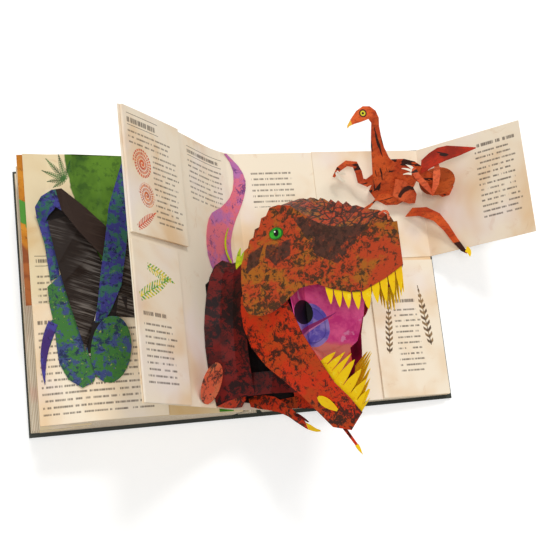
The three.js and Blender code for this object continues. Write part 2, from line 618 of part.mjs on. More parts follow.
addSheet('runner_tail', limb(tailSpine, v3(0.25, 0.95, -0.2).normalize()), RUNNER);
const thighR = onPanel(28, 84, 20);
addSheet('runner_right_thigh', disc(thighR, foldDir.clone(), v3(0, 0.96, -0.28).normalize(), 20, 16), RUNNER);
const thighL = [[166, 80, 46, 9], [176, 78, 40, 11], [186, 75, 34, 10], [193, 72, 28, 5]];
addSheet('runner_left_thigh', limb(thighL, v3(0.1, 0.75, 0.6).normalize()), RUNNER);
const legL = [[166, 71, 33, 4], [159, 74, 34, 4], [152, 75, 30, 3.6], [146, 69, 26, 3], [139, 66, 21.5, 2.2], [134, 65, 19.6, 1]];
addSheet('runner_left_leg', limb(legL, v3(0.3, 0.6, 0.5).normalize()), RUNNER);
const legR = [[-8, 60, 20, 6], [6, 58, 16, 6], [18, 50, 11, 5], [25, 38, 7, 4], [31, 24, 3.4, 3.2], [37, 13, 1.2, 2.4],
  [41, 8.4, 0.8, 1]];
const legRows = legR.map(([d, y, h, w]) => [onPanel(d - w * 0.8, y - w * 0.6, h), onPanel(d + w * 0.8, y + w * 0.6, h)]);
addSheet('runner_right_leg', legRows, RUNNER);
const handR = [[183, 98, 57, 3], [188.5, 86, 57.6, 3], [194.5, 76, 60, 3], [200, 67.6, 61, 3.2], [204.5, 76.5, 62, 3], [206.5, 86, 63, 3.8],
  [207.6, 94, 64, 2.6], [208, 99, 64.6, 0.8]];
addSheet('runner_right_arm', follow(handR), RUNNER);

// The long-necked dinosaur, folded down between the left page and the back of the leaf.
const left3 = ([x, y, h]) => onLeft(x, y, h);
const span = (list) => list.map((r) => [left3(r.slice(0, 3)), left3(r.slice(3))]);
const crescent = [[-190, -93, 2.6, -188.6, -92.6, 2.6], [-192.6, -80, 2.6, -188, -79, 2.6], [-193, -66, 2.6, -186.6, -66, 2.6],
  [-190, -50, 2.6, -181, -52, 2.7], [-184, -38, 2.65, -176, -40, 2.8], [-176, -28, 2.75, -171, -32, 2.85]];
addSheet('long_neck_tail', span(crescent), BLUE);
const bandRows = span([[-179, 4, 0.8, -171, 8, 1], [-180.5, 22, 1, -170, 24, 1.4], [-182, 40, 1.2, -169.5, 42, 2],
  [-185.5, 56, 1.6, -172, 56, 2], [-188, 66, 2.6, -178, 64, 2.6]]);
addSheet('long_neck_band', bandRows, BLUE);
const strap = span([[-187.4, 66, 2.9, -180, 60, 3], [-188.2, 73, 11, -176.4, 65, 10], [-182, 81, 18, -171, 69, 15.4],
  [-172, 86.6, 20.4, -169.4, 71, 17.4], [-163, 88, 20, -163, 66, 18], [-143, 70, 19, -149.6, 46, 17],
  [-122.6, 49, 17, -130, 22, 15]]);
addSheet('long_neck_strap', strap, BROWN);
const innerPanel = span([[-161, 64, 9, -177.6, 60, 7], [-150, 52, 9.4, -175, 42, 8], [-136, 32, 6, -171, 18, 9],
  [-129, 16, 1, -167.6, 0, 9.6], [-134, -8, 2.4, -163, -20, 10], [-139, -26, 3.1, -158, -40, 10],
  [-145.6, -46, 4, -153.4, -58, 9], [-150, -56, 8, -152.4, -66, 9]]);
addSheet('long_neck_inside', innerPanel, BROWN);
const foreLimb = span([[-182, -2, 4, -166, 12, 4], [-181, -20, 3.4, -163, -10, 5], [-178, -40, 3.2, -157, -32, 5.4],
  [-177.4, -58, 3, -151.6, -52, 5.4], [-176, -74, 3, -149, -70, 6], [-169, -89, 3.4, -143.6, -84, 5.8],
  [-157, -98, 4.6, -146.4, -93, 5]]);
addSheet('long_neck_foreleg', foreLimb, GREEN);
const blade = span([[-104, 117, 20, -94, 112, 17], [-112, 94, 24, -96, 92, 20], [-121, 68, 26, -102, 64, 22],
  [-127, 35, 26, -108, 28, 20], [-133, 6, 20, -115, -6, 15], [-138, -22, 10, -126, -28, 7], [-143, -44, 3.05, -137, -44, 3.15]]);
addSheet('long_neck_blade', blade, BLUE);
const trunk = span([[-103, 60, 9, -76, 56, 0.9], [-109, 26, 9, -74, 24, 0.9], [-117, -8, 7, -74, -10, 2.2],
  [-122, -34, 6.4, -80, -38, 5.4]]);
addSheet('long_neck_trunk', trunk, BROWN);
const ovalLow = onLeft(-134, -95, 3.2);
const ovalHigh = onLeft(-124, -36, 21);
const ovalMid = ovalLow.clone().lerp(ovalHigh, 0.5);
const ovalLong = ovalHigh.clone().sub(ovalMid);
const ovalSide = v3(1, -0.12, -0.16);
ovalSide.addScaledVector(ovalLong, -ovalSide.dot(ovalLong) / ovalLong.lengthSq()).normalize();
const ovalU = ovalLong.clone().normalize();
addSheet('long_neck_hind_leg', disc(ovalMid, ovalU, ovalSide, ovalLong.length(), 18.5, 18), GREEN);

export default group;
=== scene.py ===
"""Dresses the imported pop-up book: printed paper, a studio, and the small cut and printed details."""
import logging
import math
from dataclasses import dataclass
from enum import Enum
from typing import Any, Protocol

import bpy
import numpy as np
from mathutils import Matrix, Vector


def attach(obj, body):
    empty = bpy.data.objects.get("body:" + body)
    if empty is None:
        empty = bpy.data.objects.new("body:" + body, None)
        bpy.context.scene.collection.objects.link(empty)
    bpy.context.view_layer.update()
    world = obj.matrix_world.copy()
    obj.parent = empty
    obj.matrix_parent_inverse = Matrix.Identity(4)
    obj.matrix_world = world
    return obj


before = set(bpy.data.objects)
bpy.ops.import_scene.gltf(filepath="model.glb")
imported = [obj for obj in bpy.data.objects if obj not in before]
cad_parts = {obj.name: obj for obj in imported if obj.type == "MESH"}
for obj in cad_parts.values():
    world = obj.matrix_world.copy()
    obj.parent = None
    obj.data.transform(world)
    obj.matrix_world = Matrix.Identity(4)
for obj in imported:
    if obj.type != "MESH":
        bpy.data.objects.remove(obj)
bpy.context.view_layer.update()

LOG = logging.getLogger("pop_up_book")
MM = 0.001

INK = "43372e"
WHITE = (1.0, 1.0, 1.0, 1.0)
GUTTER_X = 8.9
LEAF_SLOPE = math.cos(math.radians(52.12))

Point = tuple[float, float, float]


def ink(code: str) -> tuple[float, float, float, float]:
    """Turns a printed colour, written as six hex digits, into linear light.

    Args:
        code: the colour as RRGGBB.

    Returns:
        Red, green, blue and alpha.
    """
    parts = np.array([int(code[i:i + 2], 16) for i in (0, 2, 4)]) / 255
    linear = np.where(parts <= 0.04045, parts / 12.92, ((parts + 0.055) / 1.055) ** 2.4)
    return (float(linear[0]), float(linear[1]), float(linear[2]), 1.0)


def place(name: str, data: bpy.types.ID) -> bpy.types.Object:
    """Makes an object and puts it in the scene.

    Args:
        name: the object's name.
        data: its mesh, lamp or camera.

    Returns:
        The object.
    """
    made = bpy.data.objects.new(name, data)
    bpy.context.scene.collection.objects.link(made)
    return made


class Half(Enum):
    """The halves of the open book, as the bodies that added pieces ride on."""

    FRONT = "front_half"
    BACK = "back_half"


class Value:
    """A shader value that takes part in Python arithmetic."""

    def __init__(self, paint: "Paint", socket: bpy.types.NodeSocket) -> None:
        """Keeps the socket and the paint that it belongs to."""
        self.paint = paint
        self.socket = socket

    def math(self, operation: str, *others: "Value | float") -> "Value":
        """Adds one Math node.

        Args:
            operation: the Math node's operation.
            others: the second and third operands.

        Returns:
            The node's result.
        """
        values = dict(enumerate((self, *others)))
        return self.paint.value("ShaderNodeMath", {"operation": operation}, values)

    def __add__(self, other: "Value | float") -> "Value":
        """Sum."""
        return self.math("ADD", other)

    __radd__ = __add__

    def __mul__(self, other: "Value | float") -> "Value":
        """Product."""
        return self.math("MULTIPLY", other)

    __rmul__ = __mul__

    def __sub__(self, other: "Value | float") -> "Value":
        """Difference."""
        return self.math("SUBTRACT", other)

    def __rsub__(self, other: float) -> "Value":
        """Difference from a plain number."""
        return (self * -1.0) + other

    def __truediv__(self, other: float) -> "Value":
        """Quotient."""
        return self.math("DIVIDE", other)

    def __gt__(self, other: "Value | float") -> "Value":
        """One where this value is the greater."""
        return self.math("GREATER_THAN", other)

    def __lt__(self, other: "Value | float") -> "Value":
        """One where this value is the smaller."""
        return self.math("LESS_THAN", other)

    def floor(self) -> "Value":
        """Whole part."""
        return self.math("FLOOR")

    def fraction(self) -> "Value":
        """Fractional part."""
        return self.math("FRACT")

    def size(self) -> "Value":
        """Distance from zero."""
        return self.math("ABSOLUTE")

    def most(self, other: "Value | float") -> "Value":
        """The larger of two values."""
        return self.math("MAXIMUM", other)

    def least(self, other: "Value | float") -> "Value":
        """The smaller of two values."""
        return self.math("MINIMUM", other)

    def rise(self, low: float, high: float) -> "Value":
        """Goes smoothly from 0 at low to 1 at high."""
        inputs = {"Value": self, "From Min": low, "From Max": high}
        return self.paint.value("ShaderNodeMapRange", {"interpolation_type": "SMOOTHSTEP"}, inputs)

    def within(self, low: float, high: float, soft: float = 0.3) -> "Value":
        """One between low and high, with soft ends."""
        return self.rise(low - soft, low + soft) * (1.0 - self.rise(high - soft, high + soft))


class Graph:
    """A node tree under construction, for a material or for the world."""

    def __init__(self, tree: bpy.types.NodeTree) -> None:
        """Takes a tree and empties it."""
        self.tree = tree
        self.tree.nodes.clear()

    def feed(self, target: bpy.types.NodeSocket, given: Any) -> None:
        """Links or sets one socket.

        Args:
            target: the socket to feed.
            given: a Value, a socket, a plain value, or a printed colour as six hex digits.
        """
        given = given.socket if isinstance(given, Value) else given
        if isinstance(given, bpy.types.NodeSocket):
            self.tree.links.new(given, target)
        else:
            target.default_value = ink(given) if isinstance(given, str) else given

    def node(self, kind: str, settings: dict[str, Any] | None = None,
             inputs: dict[Any, Any] | None = None) -> bpy.types.Node:
        """Adds a node, sets it up, then gives its sockets their values or links.

        Args:
            kind: the node's type.
            settings: its properties.
            inputs: socket name or number to what feed takes.

        Returns:
            The node.
        """
        made = self.tree.nodes.new(kind)
        for name, setting in (settings or {}).items():
            setattr(made, name, setting)
        for key, given in (inputs or {}).items():
            self.feed(made.inputs[key], given)
        return made


class Paint(Graph):
    """A material under construction: places, patterns and the printed surface itself."""

    gloss = 0.16
    coat_rough = 0.35
    relief = 0.6

    def __init__(self, name: str) -> None:
        """Starts a material with a principled surface.

        Args:
            name: the material's name.
        """
        self.material = bpy.data.materials.new(name)
        self.material.use_nodes = True
        super().__init__(self.material.node_tree)
        self.surface = self.node("ShaderNodeBsdfPrincipled")
        self.out = self.node("ShaderNodeOutputMaterial", {}, {0: self.surface.outputs[0]})
        self.place = self.node("ShaderNodeTexCoord").outputs["Object"]
        parts = self.node("ShaderNodeSeparateXYZ", {}, {0: self.place})
        self.x, self.y, self.z = (Value(self, parts.outputs[i]) / MM for i in range(3))
        normal = self.node("ShaderNodeNewGeometry").outputs["Normal"]
        facing = self.node("ShaderNodeSeparateXYZ", {}, {0: normal})
        self.nx, self.ny, self.nz = (Value(self, facing.outputs[i]) for i in range(3))

    def value(self, kind: str, settings: dict[str, Any], inputs: dict[Any, Any]) -> Value:
        """Adds a node and gives back its first output."""
        return Value(self, self.node(kind, settings, inputs).outputs[0])

    def noise(self, scale: float, seed: float = 0.0, detail: float = 3.0, rough: float = 0.55,
              stretch: tuple[float, float, float] = (1, 1, 1), warp: float = 0.0) -> Value:
        """Cloudy noise in the object's own space.

        Args:
            scale: features per metre.
            seed: moves the pattern.
            detail: octaves.
            rough: strength of the finer octaves.
            stretch: scale of each axis.
            warp: distortion.

        Returns:
            The noise, about 0.5 in the mean.
        """
        moved = self.node("ShaderNodeMapping", {}, {"Vector": self.place, "Scale": stretch,
                                                    "Location": (seed, seed * 0.7, seed * 1.3)})
        return self.value("ShaderNodeTexNoise", {}, {
            "Vector": moved.outputs[0], "Scale": scale, "Detail": detail, "Roughness": rough,
            "Distortion": warp})

    def flat_noise(self, u: Value, v: Value) -> Value:
        """Noise over two chosen values.

        Args:
            u: the first value.
            v: the second value.

        Returns:
            The noise, with features about one unit wide.
        """
        spot = self.node("ShaderNodeCombineXYZ", {}, {0: u, 1: v, 2: 0.0})
        return self.value("ShaderNodeTexNoise", {"noise_dimensions": "2D"}, {
            "Vector": spot.outputs[0], "Scale": 1.0, "Detail": 1.0})

    def cells(self, scale: float) -> Value:
        """A pattern of cells.

        Args:
            scale: cells per metre.

        Returns:
            The distance to the nearest border.
        """
        inputs = {"Vector": self.place, "Scale": scale}
        return self.value("ShaderNodeTexVoronoi", {"feature": "DISTANCE_TO_EDGE"}, inputs)

    def speck(self, row: Value, seed: float) -> Value:
        """One random number for each whole number."""
        return self.value("ShaderNodeTexWhiteNoise", {"noise_dimensions": "1D"}, {"W": row + seed})

    def mix(self, factor: Value | float, below: Any, above: Any) -> bpy.types.NodeSocket:
        """Lays one colour over another.

        Args:
            factor: how much of the upper colour shows.
            below: the lower colour.
            above: the upper colour.

        Returns:
            The mixed colour's socket.
        """
        made = self.node("ShaderNodeMix", {"data_type": "RGBA"}, {0: factor, 6: below, 7: above})
        return made.outputs[2]

    def finish(self, colour: Any, rough: float, bump: Value | None = None, depth: float = 0.2,
               coat: float = 0.0) -> bpy.types.Material:
        """Joins colour and relief to the surface.

        Args:
            colour: printed colour or socket.
            rough: roughness.
            bump: height pattern.
            depth: strength of the relief, in millimetres.
            coat: weight of a clear print varnish.

        Returns:
            The material.
        """
        for name, given in (("Base Color", colour), ("Roughness", rough), ("Coat Weight", coat),
                            ("Coat Roughness", self.coat_rough), ("Specular IOR Level", self.gloss)):
            self.feed(self.surface.inputs[name], given)
        if bump is not None:
            inputs = {"Height": bump, "Strength": self.relief, "Distance": depth * MM}
            self.feed(self.surface.inputs["Normal"], self.node("ShaderNodeBump", {}, inputs).outputs[0])
        return self.material


class Finish(Protocol):
    """Anything that builds a material."""

    def dress(self) -> bpy.types.Material:
        """Builds the finish."""


class Print(Protocol):
    """Anything that is printed on a page."""

    def mask(self, paint: Paint, u: Value, v: Value) -> Value:
        """One where the print is."""


def oval(u: Value, v: Value, centre: tuple[float, float], radii: tuple[float, float]) -> Value:
    """Works out ((u - centre u) / radius u)^2 + ((v - centre v) / radius v)^2.

    Args:
        u: the first place.
        v: the second place.
        centre: the oval's centre.
        radii: its two radii.

    Returns:
        One on the oval's edge, and less inside.
    """
    across, above = (u - centre[0]) / radii[0], (v - centre[1]) / radii[1]
    return across * across + above * above


@dataclass(frozen=True)
class TextBlock:
    """Rows of small dashes in place of print, in a box along u and v, in millimetres."""

    u_low: float
    u_high: float
    v_low: float
    v_high: float
    pitch: float = 5.0
    ragged: float = 6.0
    seed: float = 1.0
    weight: float = 0.5

    def mask(self, paint: Paint, u: Value, v: Value) -> Value:
        """Works out where the dashes are: a band of each row, broken by noise along it.

        Args:
            paint: the material.
            u: place along the rows.
            v: place across the rows.

        Returns:
            One on a dash.
        """
        rows = (self.v_high - v) / self.pitch
        row = rows.floor()
        stroke = rows.fraction().within(0.30, 0.30 + self.weight * 0.62, 0.08)
        end = paint.speck(row, self.seed) * self.ragged
        inside = (u > self.u_low) * ((u + end) < self.u_high) * (v > self.v_low) * (v < self.v_high)
        words = paint.flat_noise(u * 0.36, row * 5.37 + self.seed).rise(0.40, 0.44)
        marks = paint.flat_noise(u * 1.7, row * 3.91 + self.seed).rise(0.36, 0.50) * 0.75 + 0.25
        return stroke * inside * words * marks


@dataclass(frozen=True)
class Bar:
    """A printed rule or a plain field: a box along u and v."""

    u_low: float
    u_high: float
    v_low: float
    v_high: float

    def mask(self, paint: Paint, u: Value, v: Value) -> Value:
        """One inside the box."""
        return (u > self.u_low) * (u < self.u_high) * (v > self.v_low) * (v < self.v_high)


@dataclass(frozen=True)
class Frond:
    """A printed fern: a stem with slanting leaflets that shorten towards the tip."""

    u: float
    v: float
    long: float
    wide: float
    turn: float
    pitch: float = 2.6
    light: str = "6f8f3a"
    dark: str = "2f5a1e"

    def mask(self, paint: Paint, u: Value, v: Value) -> Value:
        """Works out the fern's print from its foot at (u, v), turned by an angle in degrees.

        Args:
            paint: the material.
            u: place along the page.
            v: place up the page.

        Returns:
            One on the fern.
        """
        angle = math.radians(self.turn)
        along = (u - self.u) * math.cos(angle) + (v - self.v) * math.sin(angle)
        aside = ((v - self.v) * math.cos(angle) - (u - self.u) * math.sin(angle)).size()
        reach = (1.0 - along / self.long) * self.wide * (along / self.long + 0.25).least(1.0)
        leaflets = ((along - aside * 0.9) / self.pitch).fraction().within(0.12, 0.66, 0.1)
        blade = leaflets * (aside < reach)
        stem = aside < 0.45
        return blade.most(stem) * (along > 0.0) * (along < self.long)


@dataclass(frozen=True)
class Shell:
    """A printed coiled shell: a disc with a spiral groove and ribs."""

    u: float
    v: float
    radius: float
    whorl: float = 3.4
    light: str = "e06a34"
    dark: str = "c23a22"

    def mask(self, paint: Paint, u: Value, v: Value) -> Value:
        """Works out the shell's print.

        Args:
            paint: the material.
            u: place along the page.
            v: place up the page.

        Returns:
            One on the shell's ribs and whorls.
        """
        across, above = u - self.u, v - self.v
        far = (across * across + above * above).math("SQRT")
        turn = above.math("ARCTAN2", across) / (2 * math.pi)
        groove = (far / self.whorl - turn).fraction().within(0.16, 0.92, 0.07)
        ribs = ((turn * 26.0).fraction().within(0.1, 0.8, 0.12)).most((far < self.radius * 0.35) * 1.0)
        return groove * ribs * (far < (turn * 2.0 + self.radius))


@dataclass(frozen=True)
class PrintedPage:
    """Cream paper printed as old parchment, with rows of dashes, rules and pictures on it."""

    name: str
    blocks: tuple[Print, ...] = ()
    pictures: tuple["Frond | Shell", ...] = ()
    base: str = "f6e8d0"
    stain: str = "e6bf8c"
    seed: float = 0.0
    on_leaf: bool = False

    def colour(self, paint: Paint) -> bpy.types.NodeSocket:
        """Mixes the parchment print: broad warm clouds and a few small ones.

        Args:
            paint: the material.

        Returns:
            The colour's socket.
        """
        broad = paint.noise(11.0, self.seed, 3.0, 0.6, warp=0.5).rise(0.44, 0.72)
        small = paint.noise(46.0, self.seed + 3, 4.0, 0.65, warp=0.6).rise(0.6, 0.8) * 0.45
        pale = paint.noise(15.0, self.seed + 9, 2.0, 0.5).rise(0.5, 0.75) * 0.55
        colour = paint.mix(broad * 0.8, self.base, self.stain)
        colour = paint.mix(small, colour, "cf9b5c")
        return paint.mix(pale, colour, "f1e6e4")

    def dress(self) -> bpy.types.Material:
        """Builds the finish.

        Returns:
            The material.
        """
        paint = Paint(self.name)
        colour = self.colour(paint)
        u = (paint.x - GUTTER_X) / LEAF_SLOPE if self.on_leaf else paint.x
        for picture in self.pictures:
            clouds = paint.noise(220.0, picture.u, 3.0).rise(0.42, 0.58)
            tint = paint.mix(clouds, picture.light, picture.dark)
            colour = paint.mix(picture.mask(paint, u, paint.y) * 0.95, colour, tint)
        for block in self.blocks:
            colour = paint.mix(block.mask(paint, u, paint.y) * 0.8, colour, INK)
        fibre = paint.noise(900.0, 2.0, 2.0, 0.6)
        return paint.finish(colour, 0.62, fibre, 0.08)


@dataclass(frozen=True)
class LeftPages:
    """The left block: a top page with a green field and a fern, and the layered edges below it.

    The print stays on what lies above top_z or right of top_x, as the fans of pages below are bare. Each of
    the fern's leaves has its turn in degrees and its length.
    """

    name: str = "left_pages_print"
    page_top: float = 128.0
    field_x: float = -152.0
    field_y: float = 22.0
    top_z: float = 48.0
    top_x: float = -148.0
    fern_foot: tuple[float, float] = (-159.0, 103.0)
    fern: tuple[tuple[float, float], ...] = ((156, 23), (128, 27), (100, 27), (72, 20), (186, 17), (214, 14))
    fern_edge: float = -118.0
    leaf_pitch: float = 1.15

    def dress(self) -> bpy.types.Material:
        """Builds the finish.

        Returns:
            The material.
        """
        paint = Paint(self.name)
        x, y = paint.x, paint.y
        colour = PrintedPage(self.name, base="ead7b0", stain="d9b47a", seed=4.0).colour(paint)
        top = (paint.z > self.top_z).most(x > self.top_x)
        wobble = paint.noise(30.0, 5.0, 3.0) * 14.0
        edge = x + wobble + (y - self.page_top) * 0.1 - self.field_x
        field = top * edge.rise(0.0, 1.5) * (y > self.field_y)
        shade = paint.noise(20.0, 7.0, 4.0, 0.6, (1, 0.5, 1), 0.8)
        green = paint.mix(shade.rise(0.38, 0.66), "24480f", "5c8422")
        green = paint.mix(paint.noise(110.0, 9.0, 4.0, 0.7).rise(0.5, 0.62) * 0.5, green, "1a3c10")
        colour = paint.mix(field, colour, green)
        for turn, long in self.fern:
            frond = Frond(*self.fern_foot, long, 6.5, turn, 2.0, "416f34", "22451c")
            tint = paint.mix(paint.noise(90.0, turn).rise(0.4, 0.6), frond.light, frond.dark)
            colour = paint.mix(frond.mask(paint, x, y) * (x < self.fern_edge) * top * 0.95, colour, tint)
        for block in (Bar(-192, -172, 28.5, 29.2), Bar(-192, -172, 19.0, 19.7),
                      TextBlock(-191, -174, 20.5, 28, 7.0, 0.0, 3.0, 0.8),
                      TextBlock(-191, -150, -16, 12, 6.0, 4.0, 4.0)):
            colour = paint.mix(block.mask(paint, x, y) * top * 0.8, colour, INK)
        leaves = (paint.z / self.leaf_pitch + paint.noise(30.0, 1.0) * 1.2).fraction()
        layers = paint.mix(leaves.rise(0.3, 0.9), "c9b08e", "f0e4d0")
        colour = paint.mix((paint.nz < 0.55), colour, layers)
        return paint.finish(colour, 0.6, paint.noise(900.0, 2.0), 0.08)


@dataclass(frozen=True)
class SecondPage:
    """The printed page below the top one, seen as a strip: ochre, a green leaf, then brown earth."""

    name: str = "second_page_print"
    corner_x: float = -199.0
    leaf: tuple[float, float] = (59.0, 82.0)
    earth: tuple[float, float] = (34.0, 40.0)

    def dress(self) -> bpy.types.Material:
        """Builds the finish.

        Returns:
            The material.
        """
        paint = Paint(self.name)
        place = paint.y + (paint.noise(60.0, 8.0, 3.0) - 0.5) * 16.0 + paint.x - self.corner_x
        specks = paint.noise(260.0, 4.0, 4.0, 0.7).rise(0.60, 0.64)
        colour = paint.mix(paint.noise(50.0, 2.0).rise(0.4, 0.6), "d28c28", "bd741c")
        colour = paint.mix(specks * 0.7, colour, "5a3414")
        colour = paint.mix(place.within(*self.leaf, 0.6), colour, "4f8f34")
        earth = paint.mix(paint.noise(70.0, 6.0, 4.0).rise(0.42, 0.58), "8c4a24", "a8602e")
        colour = paint.mix(1.0 - place.rise(*self.earth), colour, earth)
        return paint.finish(colour, 0.6, paint.noise(900.0, 2.0), 0.05)


@dataclass(frozen=True)
class PageEdges:
    """Edges of many stiff pages, seen as thin lines across the block."""

    name: str
    pitch: float = 1.3
    lean: float = 0.02

    def dress(self) -> bpy.types.Material:
        """Builds the finish.

        Returns:
            The material.
        """
        paint = Paint(self.name)
        leaves = ((paint.z + paint.x * self.lean) / self.pitch + paint.noise(25.0, 1.0) * 1.4).fraction()
        layers = paint.mix(leaves.rise(0.25, 0.9), "b9a585", "f4ead6")
        tint = paint.noise(30.0, 5.0, 2.0, 0.5, (1, 1, 6)).rise(0.55, 0.75)
        colour = paint.mix(tint * 0.5, layers, "d8a08c")
        return paint.finish(colour, 0.65, leaves, 0.2)


@dataclass(frozen=True)
class CoverCloth:
    """Dark printed board with a fine grain and lighter stripes across the spine."""

    name: str = "cover_print"
    spine_half: float = 14.2
    stripe_pitch: float = 21.0

    def dress(self) -> bpy.types.Material:
        """Builds the finish.

        Returns:
            The material.
        """
        paint = Paint(self.name)
        cloud = paint.noise(14.0, 1.0, 3.0, 0.6)
        colour = paint.mix(cloud.rise(0.35, 0.7), "1d211b", "2f332a")
        stripes = (paint.y / self.stripe_pitch + cloud * 0.5).fraction().within(0.2, 0.55, 0.06)
        colour = paint.mix(stripes * (paint.x.size() < self.spine_half) * 0.6, colour, "3d4d3a")
        grain = paint.noise(1500.0, 3.0, 2.0)
        return paint.finish(colour, 0.45, grain, 0.05, 0.25)


@dataclass(frozen=True)
class Mottle:
    """A printed skin: a ground colour with clouds, sponged dark blotches, pepper and pale flecks."""

    name: str
    ground: str
    cloud: str
    blotch: str
    fleck: str
    scale: float = 150.0
    dark: float = 0.54
    fleck_at: float = 0.64
    seed: float = 0.0
    cloud_at: float = 0.46
    cloud_edge: float = 0.14
    cloud_size: float = 0.22
    depth: float = 0.92

    def colour(self, paint: Paint) -> bpy.types.NodeSocket:
        """Mixes the skin's print from noises of five sizes.

        Args:
            paint: the material.

        Returns:
            The colour's socket.
        """
        broad = paint.noise(self.scale * self.cloud_size, self.seed, 6.0, 0.68)
        broad = broad.rise(self.cloud_at, self.cloud_at + self.cloud_edge)
        wide = paint.noise(self.scale * 0.16, self.seed + 17, 2.0, 0.5)
        sponge = paint.noise(self.scale, self.seed + 4, 8.0, 0.78, warp=0.5) + (wide - 0.5) * 0.28
        pepper = paint.noise(self.scale * 3.2, self.seed + 11, 3.0, 0.7)
        flecks = paint.noise(self.scale * 1.3, self.seed + 6, 6.0, 0.75)
        colour = paint.mix(broad * 0.85, self.ground, self.cloud)
        colour = paint.mix(flecks.rise(self.fleck_at, self.fleck_at + 0.05) * 0.9, colour, self.fleck)
        colour = paint.mix(sponge.rise(self.dark, self.dark + 0.05) * self.depth, colour, self.blotch)
        return paint.mix(pepper.rise(0.6, 0.7) * 0.55, colour, self.blotch)

    def dress(self) -> bpy.types.Material:
        """Builds the finish for a piece that shows one side.

        Returns:
            The material.
        """
        paint = Paint(self.name)
        return paint.finish(self.colour(paint), 0.55, paint.noise(700.0, 3.0), 0.06)


REX_SKIN = Mottle("predator_print", "b84220", "a4661e", "33291a", "b8822a", 190.0, 0.49, 0.68, 2.0)
JAW_SKIN = Mottle("jaw_skin_print", "d03410", "b84614", "201a12", "c0761e", 150.0, 0.508, 0.72, 6.0)
KNEE_SKIN = Mottle("knee_print", "e0603c", "d8784c", "2a2420", "e89060", 140.0, 0.5, 0.7, 7.0)
# Dark red-brown mottled skin, inked darker still: the extra darkness is painted shade from under the head and
# between the cards, where these pieces sit.
DARK_SKIN = Mottle("flank_print_and_shade", "6a1410", "380c0a", "100606", "8e3420", 130.0, 0.48, 0.73, 5.0)
TAIL_SKIN = Mottle("tail_print", "e07080", "b070b0", "6a3f78", "f0a0a0", 150.0, 0.56, 0.68, 8.0)
BLUE_SKIN = Mottle("long_neck_print", "3d3c86", "35704a", "1e1648", "86964a", 210.0, 0.54, 0.64, 3.0,
                   0.48, 0.06, 0.62)
GREEN_SKIN = Mottle("long_neck_leg_print", "3a7030", "3a3c80", "1a2246", "b0ac50", 200.0, 0.54, 0.61, 6.0,
                    0.50, 0.06, 0.60)
PURPLE_SKIN = Mottle("tail_tip_print", "3e2468", "45459a", "1d0f38", "6a5ab0", 200.0, 0.56, 0.7, 9.0)
SPINE_SKIN = Mottle("spine_print", "c8d40c", "98b010", "5a7a10", "e8ee40", 200.0, 0.6, 0.62, 4.0)
FIELD_SKIN = Mottle("leaf_print", "4c9422", "3a7c1c", "245a12", "7ab83a", 120.0, 0.6, 0.66, 5.0)
CLAW_SKIN = Mottle("small_claw_print", "f4ead8", "ecdcc0", "c8a888", "ffffff", 200.0, 0.62, 0.62, 4.0)
YELLOW_SKIN = Mottle("tooth_print", "f6cc0c", "f4bc14", "dc6c18", "fae23e", 90.0, 0.62, 0.58, 1.0)


@dataclass(frozen=True)
class Predator:
    """Where the big head stands: the gutter and the tilt of the middle plane of the spread."""

    gutter_x: float = GUTTER_X
    gutter_z: float = 32.3
    tilt: float = math.radians(26.06)
    wedge: float = math.radians(25.0)
    snout: float = 222.0

    def across(self, paint: Paint) -> Value:
        """Distance from the middle plane, negative on the leaf's side."""
        right, high = paint.x - self.gutter_x, paint.z - self.gutter_z
        return right * math.cos(self.tilt) - high * math.sin(self.tilt)

    def up(self, paint: Paint) -> Value:
        """Distance from the gutter along the middle plane."""
        right, high = paint.x - self.gutter_x, paint.z - self.gutter_z
        return right * math.sin(self.tilt) + high * math.cos(self.tilt)

    def outer(self, paint: Paint) -> Value:
        """One on the side of a sheet that faces away from the middle plane."""
        side = paint.nx * math.cos(self.tilt) - paint.nz * math.sin(self.tilt)
        return (side * self.across(paint)) > 0.0


@dataclass(frozen=True)
class Patch:
    """A dark patch of a face, with straight sides between corners given as back from the snout and height."""

    corners: tuple[tuple[float, float], ...]
    ragged: float = 9.0

    def mask(self, paint: Paint, back: Value) -> Value:
        """Works out the patch: the least distance inside any of its sides, roughened by noise.

        Args:
            paint: the material.
            back: distance back from the snout.

        Returns:
            One inside.
        """
        coarse = paint.noise(85.0, self.corners[0][0], 6.0, 0.75) - 0.5
        inside: Value = coarse * self.ragged + 1.0
        middle = np.mean(np.array(self.corners), axis=0)
        for (u0, v0), (u1, v1) in zip(self.corners, self.corners[1:] + self.corners[:1]):
            long = math.hypot(u1 - u0, v1 - v0)
            across, above = (v1 - v0) / long, (u0 - u1) / long
            flip = 1.0 if (middle[0] - u0) * across + (middle[1] - v0) * above > 0 else -1.0
            away = (back - u0) * (across * flip) + (paint.y - v0) * (above * flip)
            inside = inside.least(away + coarse * self.ragged)
        return inside.rise(-0.4, 0.6)


